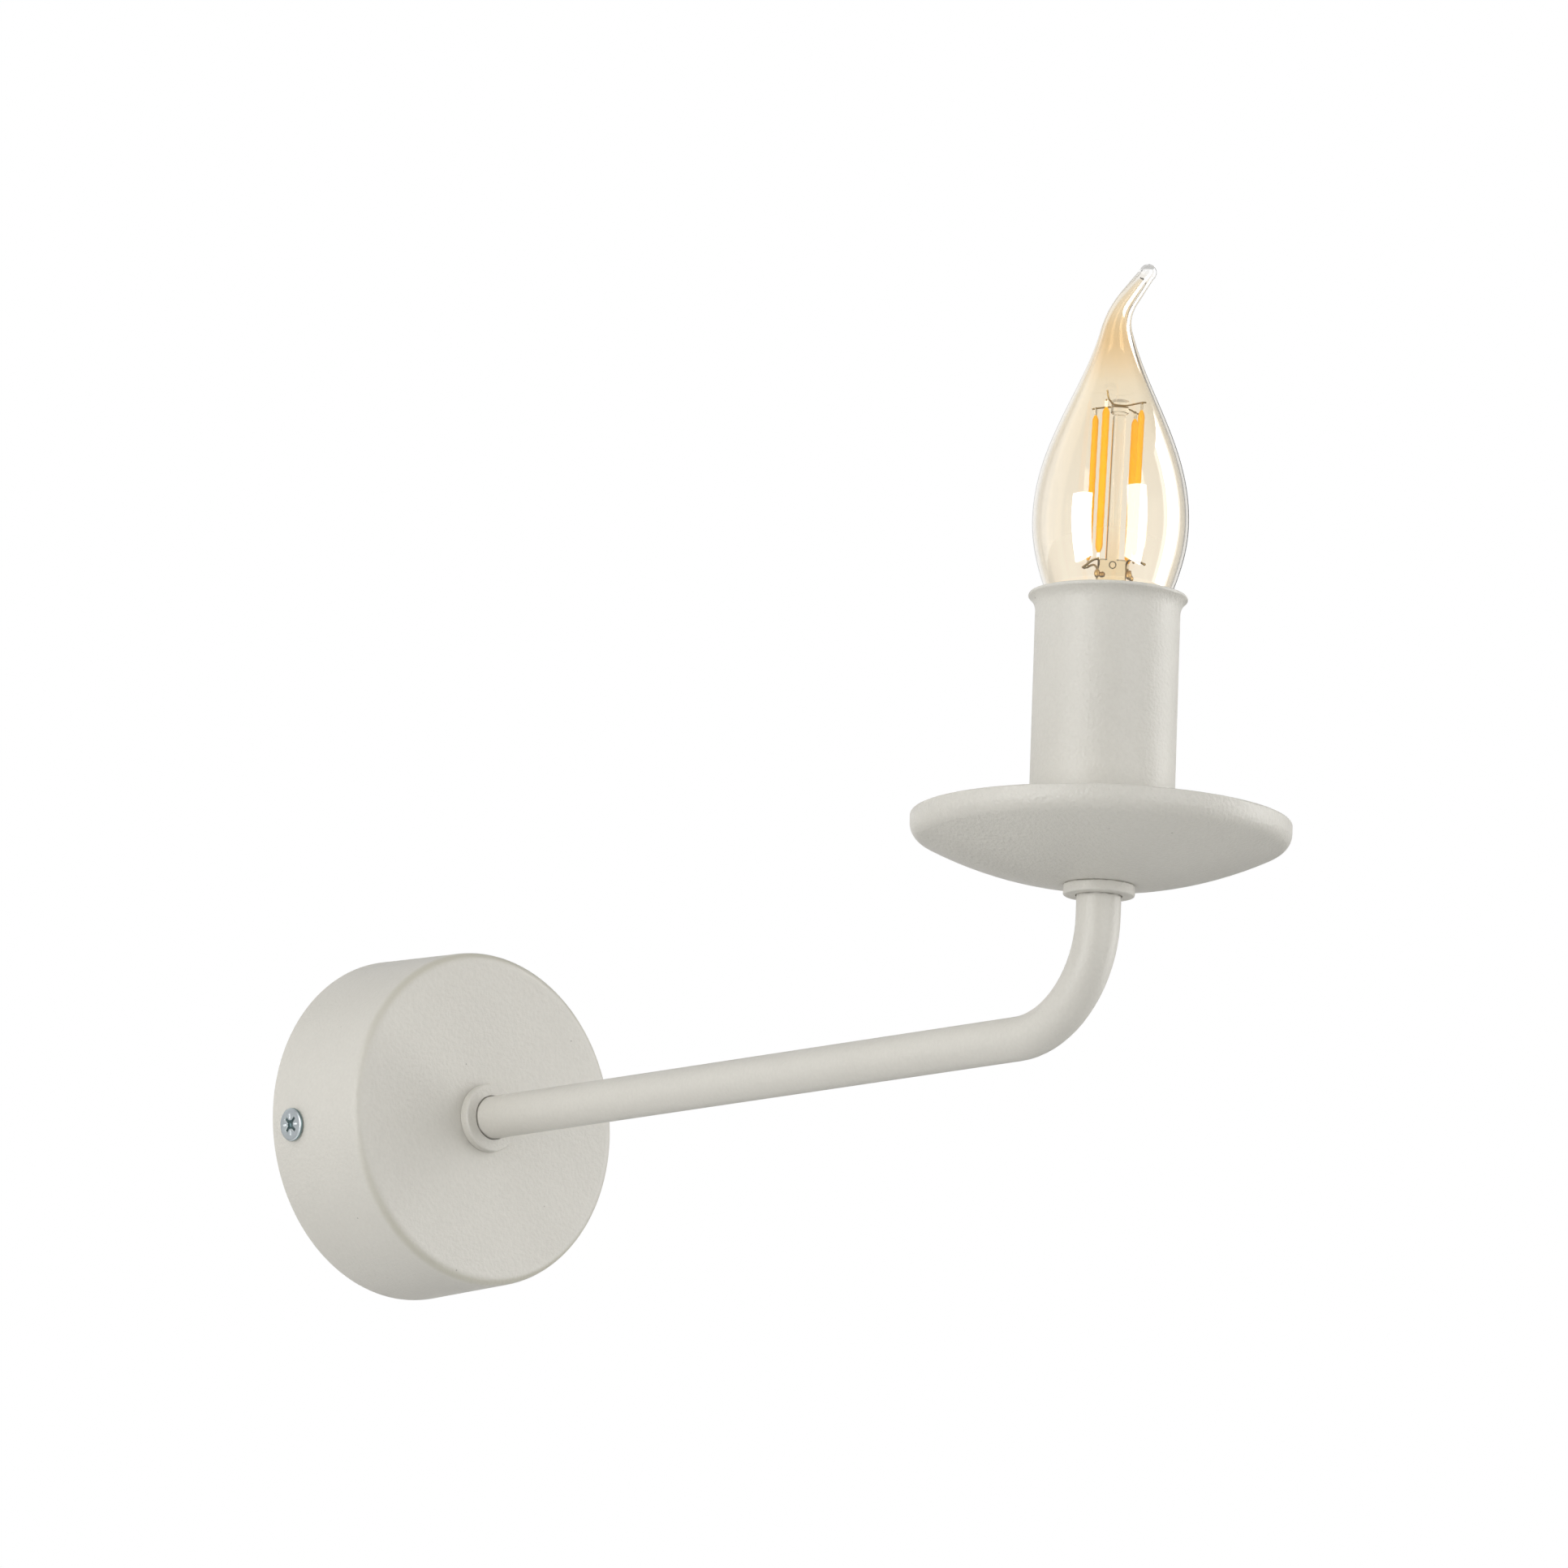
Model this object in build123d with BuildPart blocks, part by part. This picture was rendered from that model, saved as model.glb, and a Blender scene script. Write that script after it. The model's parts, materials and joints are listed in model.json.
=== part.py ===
from build123d import *
import os
from math import copysign, cos, pi, radians, sin, sqrt, tan

# Wall lamp: a round canopy, a bent tube arm, a drip dish, a candle sleeve and a flame-tip lamp.
# The wall is the plane Y = 0, the lamp stands out along -Y, and Z is up.
# The origin is the centre of the canopy's open back. All lengths are millimetres.

os.makedirs("parts", exist_ok=True)

# Canopy, widest at the wall
canopy_diameter = 80.6
canopy_depth = 30.0
canopy_sheet = 1.0
canopy_edge_radius = 2.4
canopy_draft = 1.9

# Canopy screws, on a line through the canopy's axis that is turned a little from level
side_screw_diameter = 4.0
side_screw_length = 8.0
side_screw_head_diameter = 7.8
side_screw_head_height = 0.8
side_screw_from_wall = 7.2
side_screw_line_turn = 6.5

# Pan heads: the cross recess, upright edge and flat top, as shares of the head's diameter or height
recess_length_share = 0.62
recess_width_share = 0.15
recess_depth_share = 0.55
recess_taper = 12.0
head_edge_share = 0.45
head_flat_share = 0.74

# Wall bracket
bracket_width = 16.0
bracket_sheet = 1.5
bracket_ear_height = 13.0
bracket_bend_radius = 1.0
bracket_corner_radius = 3.0
wall_hole_diameter = 5.0
wall_hole_spacing = 58.0

# Terminal block
pole_count = 3
pole_pitch = 10.0
block_width = 16.0
block_height = 13.0
block_web_height = 4.5
block_tower_length = 8.6
block_edge_radius = 1.2
socket_diameter = 4.6
socket_bore = 3.0
socket_length = 14.0
socket_height = 6.0
terminal_screw_diameter = 2.6
terminal_screw_length = 5.4
terminal_screw_head_diameter = 3.4
terminal_screw_head_height = 1.6
terminal_screw_spacing = 8.0
terminal_slot_width = 0.7
terminal_slot_depth = 0.8
block_screw_diameter = 2.5
block_screw_head_diameter = 4.6
block_screw_head_height = 1.6

# Earth terminal
earth_screw_diameter = 4.0
earth_screw_head_diameter = 7.0
earth_screw_head_height = 2.2
lug_from_block = 1.0
lug_ring_diameter = 8.0
lug_sheet = 0.8
lug_tongue_width = 4.0
lug_barrel_diameter = 3.6
lug_barrel_length = 6.0
lug_barrel_start = 6.0

# Arm
arm_reach = 240.0
tube_diameter = 10.0
tube_wall = 1.0
bend_radius = 25.0
neck_length = 4.55
tube_past_nut = 2.8

# Collars, nuts and washer on the tube's threaded ends
collar_diameter = 16.0
collar_height = 2.45
collar_edge_radius = 0.45
collar_seat_radius = 0.25
collar_mouth_gap = 0.2
collar_mouth_depth = 0.9
nut_width = 14.0
nut_height = 3.4
nut_chamfer = 0.4
washer_diameter = 18.0
washer_sheet = 0.8
washer_tooth_count = 12
washer_tooth_gap = 1.8
bush_flange_overhang = 0.3
bush_flange_height = 1.0
bush_plug_length = 6.0

# Drip dish
dish_diameter = 85.0
dish_rim_height = 4.55
dish_sheet = 1.0
dish_crown_radius = 89.0
dish_shoulder_radius = 4.0
dish_floor_diameter = 18.0

# Candle sleeve
sleeve_from_holder = 2.2
sleeve_length = 63.6
sleeve_sheet = 1.0
sleeve_foot_radius = 0.9
sleeve_flare_radius = 4.5
sleeve_flare_angle = 50.0

# Lampholder
holder_wall = 1.7
holder_floor = 2.5
holder_boss_wall = 2.5
holder_entry_depth = 6.0
holder_chamber_height = 5.0
holder_ledge_width = 1.0
holder_lip_height = 2.0
holder_insert_thickness = 3.5
holder_waist_length = 6.0
holder_taper_length = 4.0
holder_neck_wall = 3.35
holder_mouth_chamfer = 1.0
holder_mouth_radius = 1.0
contact_sheet = 0.4
contact_width = 4.0
centre_pad_half_length = 2.2
centre_spring_height = 2.5
centre_spring_run = 1.0
side_spring_gap = 0.45
side_spring_length = 9.0
contact_screw_diameter = 2.5
contact_screw_head_diameter = 4.0
contact_screw_head_height = 1.4
contact_screw_room = 1.0

# Wires inside the lamp
wire_diameter = 2.2
wire_from_centre = 0.25
wire_before_bush = 3.5
wire_out_of_block = 10.0
wire_loop_height = 4.0
wire_loop_drop = 6.0
wire_loop_radius = 4.0
wire_turn_radius = 3.0
wire_above_tube = 2.4
wire_leg_radii = [2.4, 2.0]
earth_loop_radius = 3.5

# Lamp: screw cap, glass, stem and filaments, with heights from its foot
lamp_diameter = 35.0
lamp_widest_height = 59.0
lamp_shoulder_length = 51.0
lamp_neck_waist_height = 18.2
lamp_neck_diameter = 14.8
lamp_glass_wall = 0.8
lamp_tail_facing = -41.0
tail_start_above_widest = 43.1
tail_bend_radius = 14.7
tail_bend_angle = 34.0
tail_end_length = 7.4
tail_end_diameter = 3.7
tail_taper = 0.065
tail_wall = 1.2
bead_diameter = 3.9
glass_section_count = 14
tail_section_count = 6
tail_solid_section_count = 1
cap_diameter = 13.9
cap_shell = 0.4
cap_foot_height = 2.8
cap_thread_start = 4.4
cap_thread_end = 17.0
cap_rim_start = 21.5
cap_height = 25.0
cap_glass_overlap = 2.0
foot_diameter = 4.8
foot_height = 0.9
foot_pin_diameter = 2.0
foot_pin_length = 3.4
insulator_diameter = 9.0
insulator_top_height = 3.6
insulator_step = 0.5
stem_flare_thickness = 1.2
stem_waist_diameter = 6.2
stem_waist_length = 7.0
press_width = 6.4
press_thickness = 3.2
press_foot_radius = 2.0
press_edge_radius = 1.0
press_height = 6.7
press_below_filaments = 0.5
rod_diameter = 3.0
button_diameter = 4.0
button_height = 3.2
button_above_leads = 1.2
button_taper = 0.4
mount_lean = 1.25
filament_count = 4
filament_length = 33.0
filament_width = 1.7
filament_thickness = 1.3
filament_tip_length = 1.5
filament_tip_share = 0.4
filament_circle_diameter = 12.6
filament_first_angle = 53.0
filament_gap = 0.1
filament_from_glass = 1.7
mount_fit_steps = 40
lead_diameter = 0.5
lead_top_drop = 1.6
lead_foot_rise = 0.8
lead_bend_radius = 0.4
lead_leg_spacing = 1.0
lead_leg_length = 4.0
board_thickness = 1.2
board_height = 12.0
board_from_foot = 5.6
capacitor_diameter = 5.0
capacitor_length = 8.0

# Clearances
thread_clearance = 0.05
hole_clearance = 0.2
seat_clearance = 0.1
turning_clearance = 0.2

# Sizes that follow from the ones above
canopy_radius = canopy_diameter / 2
canopy_slope = tan(radians(canopy_draft))
canopy_radius_at_ear = canopy_radius - canopy_slope * bracket_ear_height
tube_radius = tube_diameter / 2
tube_bore_radius = tube_radius - tube_wall
tube_hole_radius = tube_radius + hole_clearance
tube_thread_radius = tube_radius + thread_clearance
bracket_ear_face = (
    sqrt((canopy_radius_at_ear - canopy_sheet) ** 2 - (bracket_width / 2) ** 2) - seat_clearance
)
side_screw_seat = canopy_radius - canopy_slope * (side_screw_from_wall - side_screw_head_diameter / 2)
washer_from_wall = canopy_depth - canopy_sheet - washer_sheet
rear_nut_from_wall = washer_from_wall - nut_height
tube_start = rear_nut_from_wall - tube_past_nut
wire_offset = wire_diameter / 2 + wire_from_centre
wire_rise = tube_start - bush_flange_height - wire_before_bush
bush_bore_radius = wire_offset + wire_diameter / 2 + hole_clearance
collar_z = bend_radius + neck_length
dish_z = collar_z + collar_height
dish_radius = dish_diameter / 2
dish_crown_centre = dish_z + sqrt(dish_crown_radius**2 - (dish_floor_diameter / 2) ** 2)
dish_shoulder_z = dish_crown_centre - sqrt(dish_crown_radius**2 - dish_radius**2)
dish_height = dish_shoulder_z - dish_z + dish_rim_height
dish_lip_radius = dish_sheet / 2 - thread_clearance
holder_bore = cap_diameter + 2 * turning_clearance
holder_neck_diameter = holder_bore + 2 * holder_neck_wall
side_spring_offset = cap_diameter / 2 + side_spring_gap + contact_sheet / 2
side_spring_face = side_spring_offset + contact_sheet / 2
holder_base_bore = 2 * (side_spring_face + contact_screw_head_height + contact_screw_room)
holder_insert_diameter = holder_base_bore + 2 * holder_ledge_width
holder_diameter = holder_insert_diameter + 2 * (seat_clearance + holder_wall)
holder_boss_diameter = tube_diameter + 2 * holder_boss_wall
centre_leg_face = sqrt((holder_bore / 2 - hole_clearance) ** 2 - (contact_width / 2) ** 2)
centre_leg_offset = centre_leg_face - contact_sheet / 2
sleeve_radius = holder_diameter / 2 + sleeve_from_holder + sleeve_sheet
sleeve_z = dish_crown_centre - sqrt((dish_crown_radius - dish_sheet) ** 2 - sleeve_radius**2)
candle_nut_z = sleeve_z + sleeve_sheet
holder_z = candle_nut_z + nut_height
tube_top = holder_z + holder_entry_depth
insert_z = tube_top + holder_chamber_height
base_top = insert_z + holder_lip_height
insert_top = insert_z + holder_insert_thickness
waist_top = base_top + holder_waist_length
neck_z = waist_top + holder_taper_length
contact_leg_z = tube_top + hole_clearance
contact_screw_z = (tube_top + insert_z) / 2
lamp_z = insert_top + centre_spring_height
holder_top = lamp_z + cap_thread_end + holder_mouth_chamfer
lamp_neck_length = lamp_widest_height - lamp_neck_waist_height
tail_start_height = lamp_widest_height + tail_start_above_widest
tail_arc_length = tail_bend_radius * radians(tail_bend_angle)
tail_length = tail_arc_length + tail_end_length
glass_length = tail_start_height + tail_length
pole_places = [(pole - (pole_count - 1) / 2) * pole_pitch for pole in range(pole_count)]
block_screw_place = (pole_places[0] + pole_places[1]) / 2
earth_screw_place = (pole_count * pole_pitch + lug_ring_diameter) / 2 + lug_from_block
block_screw_length = block_web_height + bracket_sheet - hole_clearance
earth_screw_length = lug_sheet + bracket_sheet - hole_clearance
block_socket_from_wall = bracket_sheet + socket_height

# Planes and axes
wall_section = Plane(origin=(0, 0, 0), x_dir=(1, 0, 0), z_dir=(0, 0, -1))
bracket_face = Plane(
    origin=(0, 0, 0),
    x_dir=(cos(radians(side_screw_line_turn)), 0, sin(radians(side_screw_line_turn))),
    z_dir=(0, -1, 0),
)
bracket_seat = bracket_face.offset(bracket_sheet)
bracket_section = Plane(
    origin=(0, 0, 0), x_dir=bracket_face.x_dir, z_dir=bracket_face.y_dir * -1
)
bracket_length = Axis((0, 0, 0), bracket_face.x_dir)
screw_line = Plane(
    origin=(0, -side_screw_from_wall, 0), x_dir=(0, -1, 0), z_dir=bracket_face.x_dir
)
candle_origin = Vector(0, -arm_reach, 0)
candle_axis = Axis(candle_origin, (0, 0, 1))
candle_section = Plane(origin=candle_origin, x_dir=(1, 0, 0), z_dir=(0, -1, 0))
tail_direction = Vector(cos(radians(lamp_tail_facing)), sin(radians(lamp_tail_facing)), 0)
tail_side = Vector(sin(radians(lamp_tail_facing)), -cos(radians(lamp_tail_facing)), 0)
lamp_foot = candle_origin + Vector(0, 0, lamp_z)
lamp_section = Plane(origin=lamp_foot, x_dir=tail_direction, z_dir=tail_side)


def candle_level(height):
    """Level plane across the candle axis, at a height above the arm's axis."""
    return Plane(origin=candle_origin + Vector(0, 0, height), x_dir=(1, 0, 0), z_dir=(0, 0, 1))


def bracket_point(along, across, from_wall):
    """Point given along and across the wall bracket and by its distance from the wall."""
    return bracket_face.from_local_coords(Vector(along, across, from_wall))


def pan_screw(diameter, length, head_diameter, head_height):
    """Pan head screw with a cross recess, its head above the XY plane and its shank below."""
    recess_length = recess_length_share * head_diameter
    recess_width = recess_width_share * head_diameter
    recess_depth = recess_depth_share * head_height
    edge_height = head_edge_share * head_height
    flat_radius = head_flat_share * head_diameter / 2
    with BuildPart() as screw:
        with BuildSketch(Plane.XZ):
            with BuildLine():
                shoulder = TangentArc(
                    (flat_radius, head_height), (head_diameter / 2, edge_height), tangent=(1, 0)
                )
                Polyline(
                    shoulder @ 1, (head_diameter / 2, 0), (0, 0), (0, head_height), shoulder @ 0
                )
            make_face()
        revolve(axis=Axis.Z)
        with BuildSketch(Plane.XY.offset(head_height)):
            Rectangle(recess_length, recess_width)
            Rectangle(recess_width, recess_length)
        extrude(amount=-recess_depth, taper=recess_taper, mode=Mode.SUBTRACT)
        with BuildSketch():
            Circle(diameter / 2)
        extrude(amount=-length)
    return screw.part


def hex_nut():
    """Hexagon nut on the tube's thread, standing on the XY plane."""
    with BuildPart() as nut:
        with BuildSketch():
            RegularPolygon(nut_width / 2, 6, major_radius=False)
            Circle(tube_thread_radius, mode=Mode.SUBTRACT)
        extrude(amount=nut_height)
        rims = nut.faces().filter_by(Axis.Z).edges().filter_by(GeomType.LINE)
        chamfer(rims, nut_chamfer)
    return nut.part


def collar_ring():
    """Collar ring on the tube's thread, its seat on the XY plane and its open mouth above."""
    with BuildPart() as ring:
        with BuildSketch(Plane.XZ):
            with Locations((tube_thread_radius, 0)):
                Rectangle(
                    collar_diameter / 2 - tube_thread_radius,
                    collar_height,
                    align=(Align.MIN, Align.MIN),
                )
            with Locations((tube_thread_radius, collar_height)):
                Rectangle(
                    collar_mouth_gap,
                    collar_mouth_depth,
                    align=(Align.MIN, Align.MAX),
                    mode=Mode.SUBTRACT,
                )
            fillet(vertices().group_by(Axis.X)[-1].sort_by(Axis.Y)[-1], collar_edge_radius)
            fillet(vertices().group_by(Axis.X)[-1].sort_by(Axis.Y)[0], collar_seat_radius)
        revolve(axis=Axis.Z)
    return ring.part


side_screw = pan_screw(
    side_screw_diameter, side_screw_length, side_screw_head_diameter, side_screw_head_height
)
block_fixing = pan_screw(
    block_screw_diameter, block_screw_length, block_screw_head_diameter, block_screw_head_height
)
earth_fixing = pan_screw(
    earth_screw_diameter, earth_screw_length, earth_screw_head_diameter, earth_screw_head_height
)
thread_nut = hex_nut()
thread_collar = collar_ring()


def cup_section(inset):
    """Half section of the canopy as a full cup on the wall, drawn in by the inset."""
    depth = canopy_depth - inset
    front_corner = (canopy_radius - inset - canopy_slope * depth, depth)
    with BuildSketch() as cup:
        with BuildLine():
            Polyline((0, 0), (canopy_radius - inset, 0), front_corner, (0, depth), close=True)
        make_face()
        fillet(cup.vertices().sort_by_distance(front_corner)[0], canopy_edge_radius - inset)
    return cup.sketch


cup_outside = cup_section(0)
cup_inside = cup_section(canopy_sheet)

# Canopy: a drawn cup, open to the wall, narrowing to a rounded front edge
with BuildPart() as canopy:
    with BuildSketch(wall_section):
        add(cup_outside)
        add(cup_inside, mode=Mode.SUBTRACT)
    revolve(axis=Axis.Y)
    with BuildSketch(Plane.XZ):
        Circle(tube_hole_radius)
    extrude(amount=canopy_depth, mode=Mode.SUBTRACT)
    with BuildSketch(screw_line):
        Circle(side_screw_diameter / 2 + hole_clearance)
    extrude(amount=canopy_radius, both=True, mode=Mode.SUBTRACT)


def fold_section(inset, bend):
    """Section of the bracket's folded strip as a full block, drawn in by the inset."""
    with BuildSketch() as fold:
        with Locations((0, inset)):
            Rectangle(
                2 * (bracket_ear_face - inset), bracket_ear_height, align=(Align.CENTER, Align.MIN)
            )
        fillet(fold.vertices().group_by(Axis.Y)[0], bend)
    return fold.sketch


fold_outside = fold_section(0, bracket_bend_radius + bracket_sheet)
fold_inside = fold_section(bracket_sheet, bracket_bend_radius)

# Wall bracket: a folded strip whose ears take the canopy screws
with BuildPart() as wall_bracket:
    with BuildSketch(bracket_section):
        add(fold_outside)
        add(fold_inside, mode=Mode.SUBTRACT)
    extrude(amount=bracket_width / 2, both=True)
    ear_corners = wall_bracket.edges().filter_by(bracket_length).group_by(Axis.Y)[0]
    fillet(ear_corners, bracket_corner_radius)
    with BuildSketch(bracket_face):
        with GridLocations(wall_hole_spacing, 0, 2, 1):
            Circle(wall_hole_diameter / 2)
        with Locations((earth_screw_place, 0)):
            Circle(earth_screw_diameter / 2 + thread_clearance)
        with Locations((block_screw_place, 0)):
            Circle(block_screw_diameter / 2 + thread_clearance)
    extrude(amount=bracket_sheet, mode=Mode.SUBTRACT)
    with BuildSketch(screw_line):
        Circle(side_screw_diameter / 2 + thread_clearance)
    extrude(amount=canopy_radius, both=True, mode=Mode.SUBTRACT)

# Canopy screws, one at each end of the bracket
with BuildPart() as canopy_screws:
    with Locations(
        Plane(
            origin=screw_line.from_local_coords(Vector(0, 0, side_screw_seat)),
            x_dir=screw_line.x_dir,
            z_dir=screw_line.z_dir,
        ),
        Plane(
            origin=screw_line.from_local_coords(Vector(0, 0, -side_screw_seat)),
            x_dir=screw_line.x_dir,
            z_dir=screw_line.z_dir * -1,
        ),
    ):
        add(side_screw)

# Terminal block: a moulded strip of towers, each with a wire socket and two screw wells
socket_row = Plane(
    origin=bracket_point(0, -block_width / 2, block_socket_from_wall),
    x_dir=bracket_face.x_dir,
    z_dir=bracket_face.y_dir,
)
with BuildPart() as terminal_block:
    with BuildSketch(bracket_seat):
        Rectangle(pole_count * pole_pitch, block_width)
    extrude(amount=block_web_height)
    with BuildSketch(bracket_seat):
        with GridLocations(pole_pitch, 0, pole_count, 1):
            Rectangle(block_tower_length, block_width)
    extrude(amount=block_height)
    tower_tops = terminal_block.faces().group_by(Axis.Y)[0].edges()
    fillet(tower_tops, block_edge_radius)
    with BuildSketch(socket_row):
        with GridLocations(pole_pitch, 0, pole_count, 1):
            Circle(socket_diameter / 2 + seat_clearance)
    extrude(amount=block_width, mode=Mode.SUBTRACT)
    with BuildSketch(bracket_seat.offset(socket_height)):
        with GridLocations(pole_pitch, terminal_screw_spacing, pole_count, 2):
            Circle(terminal_screw_head_diameter / 2 + hole_clearance)
    extrude(amount=block_height, mode=Mode.SUBTRACT)
    with BuildSketch(bracket_seat):
        with Locations((block_screw_place, 0)):
            Circle(block_screw_diameter / 2 + hole_clearance)
    extrude(amount=block_height, mode=Mode.SUBTRACT)
    with BuildSketch(bracket_seat.offset(block_web_height)):
        with Locations((block_screw_place, 0)):
            Circle(block_screw_head_diameter / 2 + seat_clearance)
    extrude(amount=block_height, mode=Mode.SUBTRACT)

# Brass sockets, each with two tapped holes in its upper wall
with BuildPart() as terminal_sockets:
    with BuildSketch(socket_row.offset((block_width - socket_length) / 2)):
        with GridLocations(pole_pitch, 0, pole_count, 1):
            Circle(socket_diameter / 2)
            Circle(socket_bore / 2, mode=Mode.SUBTRACT)
    extrude(amount=socket_length)
    with BuildSketch(bracket_seat.offset(socket_height)):
        with GridLocations(pole_pitch, terminal_screw_spacing, pole_count, 2):
            Circle(terminal_screw_diameter / 2 + thread_clearance)
    extrude(amount=socket_diameter, mode=Mode.SUBTRACT)

# Terminal screws: slotted cylinder heads, their points on the wires
screw_point = bracket_seat.offset(socket_height + wire_diameter / 2 + thread_clearance)
with BuildPart() as terminal_screws:
    with BuildSketch(screw_point):
        with GridLocations(pole_pitch, terminal_screw_spacing, pole_count, 2):
            Circle(terminal_screw_diameter / 2)
    extrude(amount=terminal_screw_length)
    head_seat = screw_point.offset(terminal_screw_length - terminal_screw_head_height)
    with BuildSketch(head_seat):
        with GridLocations(pole_pitch, terminal_screw_spacing, pole_count, 2):
            Circle(terminal_screw_head_diameter / 2)
    extrude(amount=terminal_screw_head_height)
    with BuildSketch(head_seat.offset(terminal_screw_head_height)):
        with GridLocations(pole_pitch, terminal_screw_spacing, pole_count, 2):
            Rectangle(terminal_screw_head_diameter, terminal_slot_width)
    extrude(amount=-terminal_slot_depth, mode=Mode.SUBTRACT)

# Screw that holds the terminal block to the bracket
block_screw_seat = bracket_seat.offset(block_web_height)
with BuildPart() as block_screw:
    with Locations(
        Plane(
            origin=block_screw_seat.from_local_coords(Vector(block_screw_place, 0, 0)),
            x_dir=block_screw_seat.x_dir,
            z_dir=block_screw_seat.z_dir,
        )
    ):
        add(block_fixing)

# Earth lug: a ring under the earth screw, with a barrel for the earth wire
lug_barrel_from_wall = bracket_sheet + lug_sheet / 2 + lug_barrel_diameter / 2
lug_barrel_end = lug_barrel_start + lug_barrel_length
with BuildPart() as earth_lug:
    with BuildSketch(bracket_seat):
        with Locations((earth_screw_place, 0)):
            Circle(lug_ring_diameter / 2)
            Rectangle(lug_tongue_width, lug_barrel_end, align=(Align.CENTER, Align.MIN))
            Circle(earth_screw_diameter / 2 + hole_clearance, mode=Mode.SUBTRACT)
    extrude(amount=lug_sheet)
    barrel_start = Plane(
        origin=bracket_point(earth_screw_place, lug_barrel_start, lug_barrel_from_wall),
        x_dir=bracket_face.x_dir,
        z_dir=bracket_face.y_dir,
    )
    with BuildSketch(barrel_start):
        Circle(lug_barrel_diameter / 2)
    extrude(amount=lug_barrel_length)
    with BuildSketch(barrel_start):
        Circle(wire_diameter / 2 + seat_clearance)
    extrude(amount=lug_barrel_length, mode=Mode.SUBTRACT)

# Earth screw
with BuildPart() as earth_screw:
    with Locations(
        Plane(
            origin=bracket_point(earth_screw_place, 0, bracket_sheet + lug_sheet),
            x_dir=bracket_face.x_dir,
            z_dir=bracket_face.z_dir,
        )
    ):
        add(earth_fixing)

# Toothed washer and nut inside the canopy
with BuildPart() as rear_washer:
    with BuildSketch(Plane.XZ.offset(washer_from_wall)):
        Circle(washer_diameter / 2)
        Circle(tube_hole_radius, mode=Mode.SUBTRACT)
        with PolarLocations(washer_diameter / 2, washer_tooth_count):
            Circle(washer_tooth_gap / 2, mode=Mode.SUBTRACT)
    extrude(amount=washer_sheet)

with BuildPart() as rear_nut:
    with Locations(Plane.XZ.offset(rear_nut_from_wall)):
        add(thread_nut)

# Collar in front of the canopy
with BuildPart() as wall_collar:
    with Locations(Plane.XZ.offset(canopy_depth)):
        add(thread_collar)

# Arm tube: out from the canopy, one bend, and up through the dish
with BuildPart() as arm_tube:
    with BuildLine():
        FilletPolyline(
            (0, -tube_start, 0),
            (0, -arm_reach, 0),
            (0, -arm_reach, tube_top),
            radius=bend_radius,
        )
    with BuildSketch(Plane.XZ.offset(tube_start)):
        Circle(tube_radius)
        Circle(tube_bore_radius, mode=Mode.SUBTRACT)
    sweep()

# Bush that guards the wires at the tube's end in the canopy
with BuildPart() as tube_bush:
    with BuildSketch(Plane.XZ.offset(tube_start)):
        Circle(tube_radius + bush_flange_overhang)
    extrude(amount=-bush_flange_height)
    with BuildSketch(Plane.XZ.offset(tube_start)):
        Circle(tube_bore_radius - seat_clearance)
    extrude(amount=bush_plug_length)
    bush_face = tube_bush.faces().sort_by(Axis.Y)[-1]
    fillet(bush_face.edges(), bush_flange_height / 2)
    with BuildSketch(Plane.XZ.offset(tube_start - bush_flange_height)):
        Circle(bush_bore_radius)
    extrude(amount=bush_flange_height + bush_plug_length, mode=Mode.SUBTRACT)

# Collar under the dish, rounded face down
with BuildPart() as dish_collar:
    with Locations(
        Plane(origin=candle_origin + Vector(0, 0, dish_z), x_dir=(1, 0, 0), z_dir=(0, 0, -1))
    ):
        add(thread_collar)


def bowl_section(inset):
    """Half section of the dish as a full bowl, drawn in by the inset."""
    with BuildSketch() as bowl:
        with Locations((0, dish_crown_centre)):
            Circle(dish_crown_radius - inset)
        with Locations((0, dish_z + inset)):
            Rectangle(
                dish_radius - inset,
                dish_height,
                align=(Align.MIN, Align.MIN),
                mode=Mode.INTERSECT,
            )
        shoulder = bowl.vertices().sort_by_distance((dish_radius - inset, dish_shoulder_z))[0]
        fillet(shoulder, dish_shoulder_radius - inset)
    return bowl.sketch


bowl_outside = bowl_section(0)
bowl_inside = bowl_section(dish_sheet)

# Drip dish: a spun sheet with a flat floor, a shallow crown and an upright rim
with BuildPart() as drip_dish:
    with BuildSketch(candle_section):
        add(bowl_outside)
        add(bowl_inside, mode=Mode.SUBTRACT)
        fillet(vertices().group_by(Axis.Y)[-1], dish_lip_radius)
    revolve(axis=candle_axis)
    with BuildSketch(candle_level(dish_z)):
        Circle(tube_hole_radius)
    extrude(amount=dish_height, mode=Mode.SUBTRACT)

# Candle sleeve: a deep cup whose mouth flares to a rounded lip
sleeve_mid_radius = sleeve_radius - sleeve_sheet / 2
flare_rise = sleeve_flare_radius * sin(radians(sleeve_flare_angle))
flare_z = sleeve_z + sleeve_length - sleeve_sheet / 2 - flare_rise
with BuildPart() as candle_sleeve:
    with BuildSketch(candle_section):
        with Locations((sleeve_radius, sleeve_z)):
            Rectangle(sleeve_sheet, flare_z - sleeve_z, align=(Align.MAX, Align.MIN))
        with Locations((tube_hole_radius, sleeve_z)):
            Rectangle(
                sleeve_radius - tube_hole_radius, sleeve_sheet, align=(Align.MIN, Align.MIN)
            )
        foot_corner = vertices().sort_by_distance((sleeve_radius, sleeve_z))[0]
        fillet(foot_corner, sleeve_foot_radius)
        with BuildLine(mode=Mode.PRIVATE) as flare:
            CenterArc(
                (sleeve_mid_radius + sleeve_flare_radius, flare_z),
                sleeve_flare_radius,
                180 - sleeve_flare_angle,
                sleeve_flare_angle,
            )
        SlotArc(flare.line.edge(), sleeve_sheet)
    revolve(axis=candle_axis)

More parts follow.
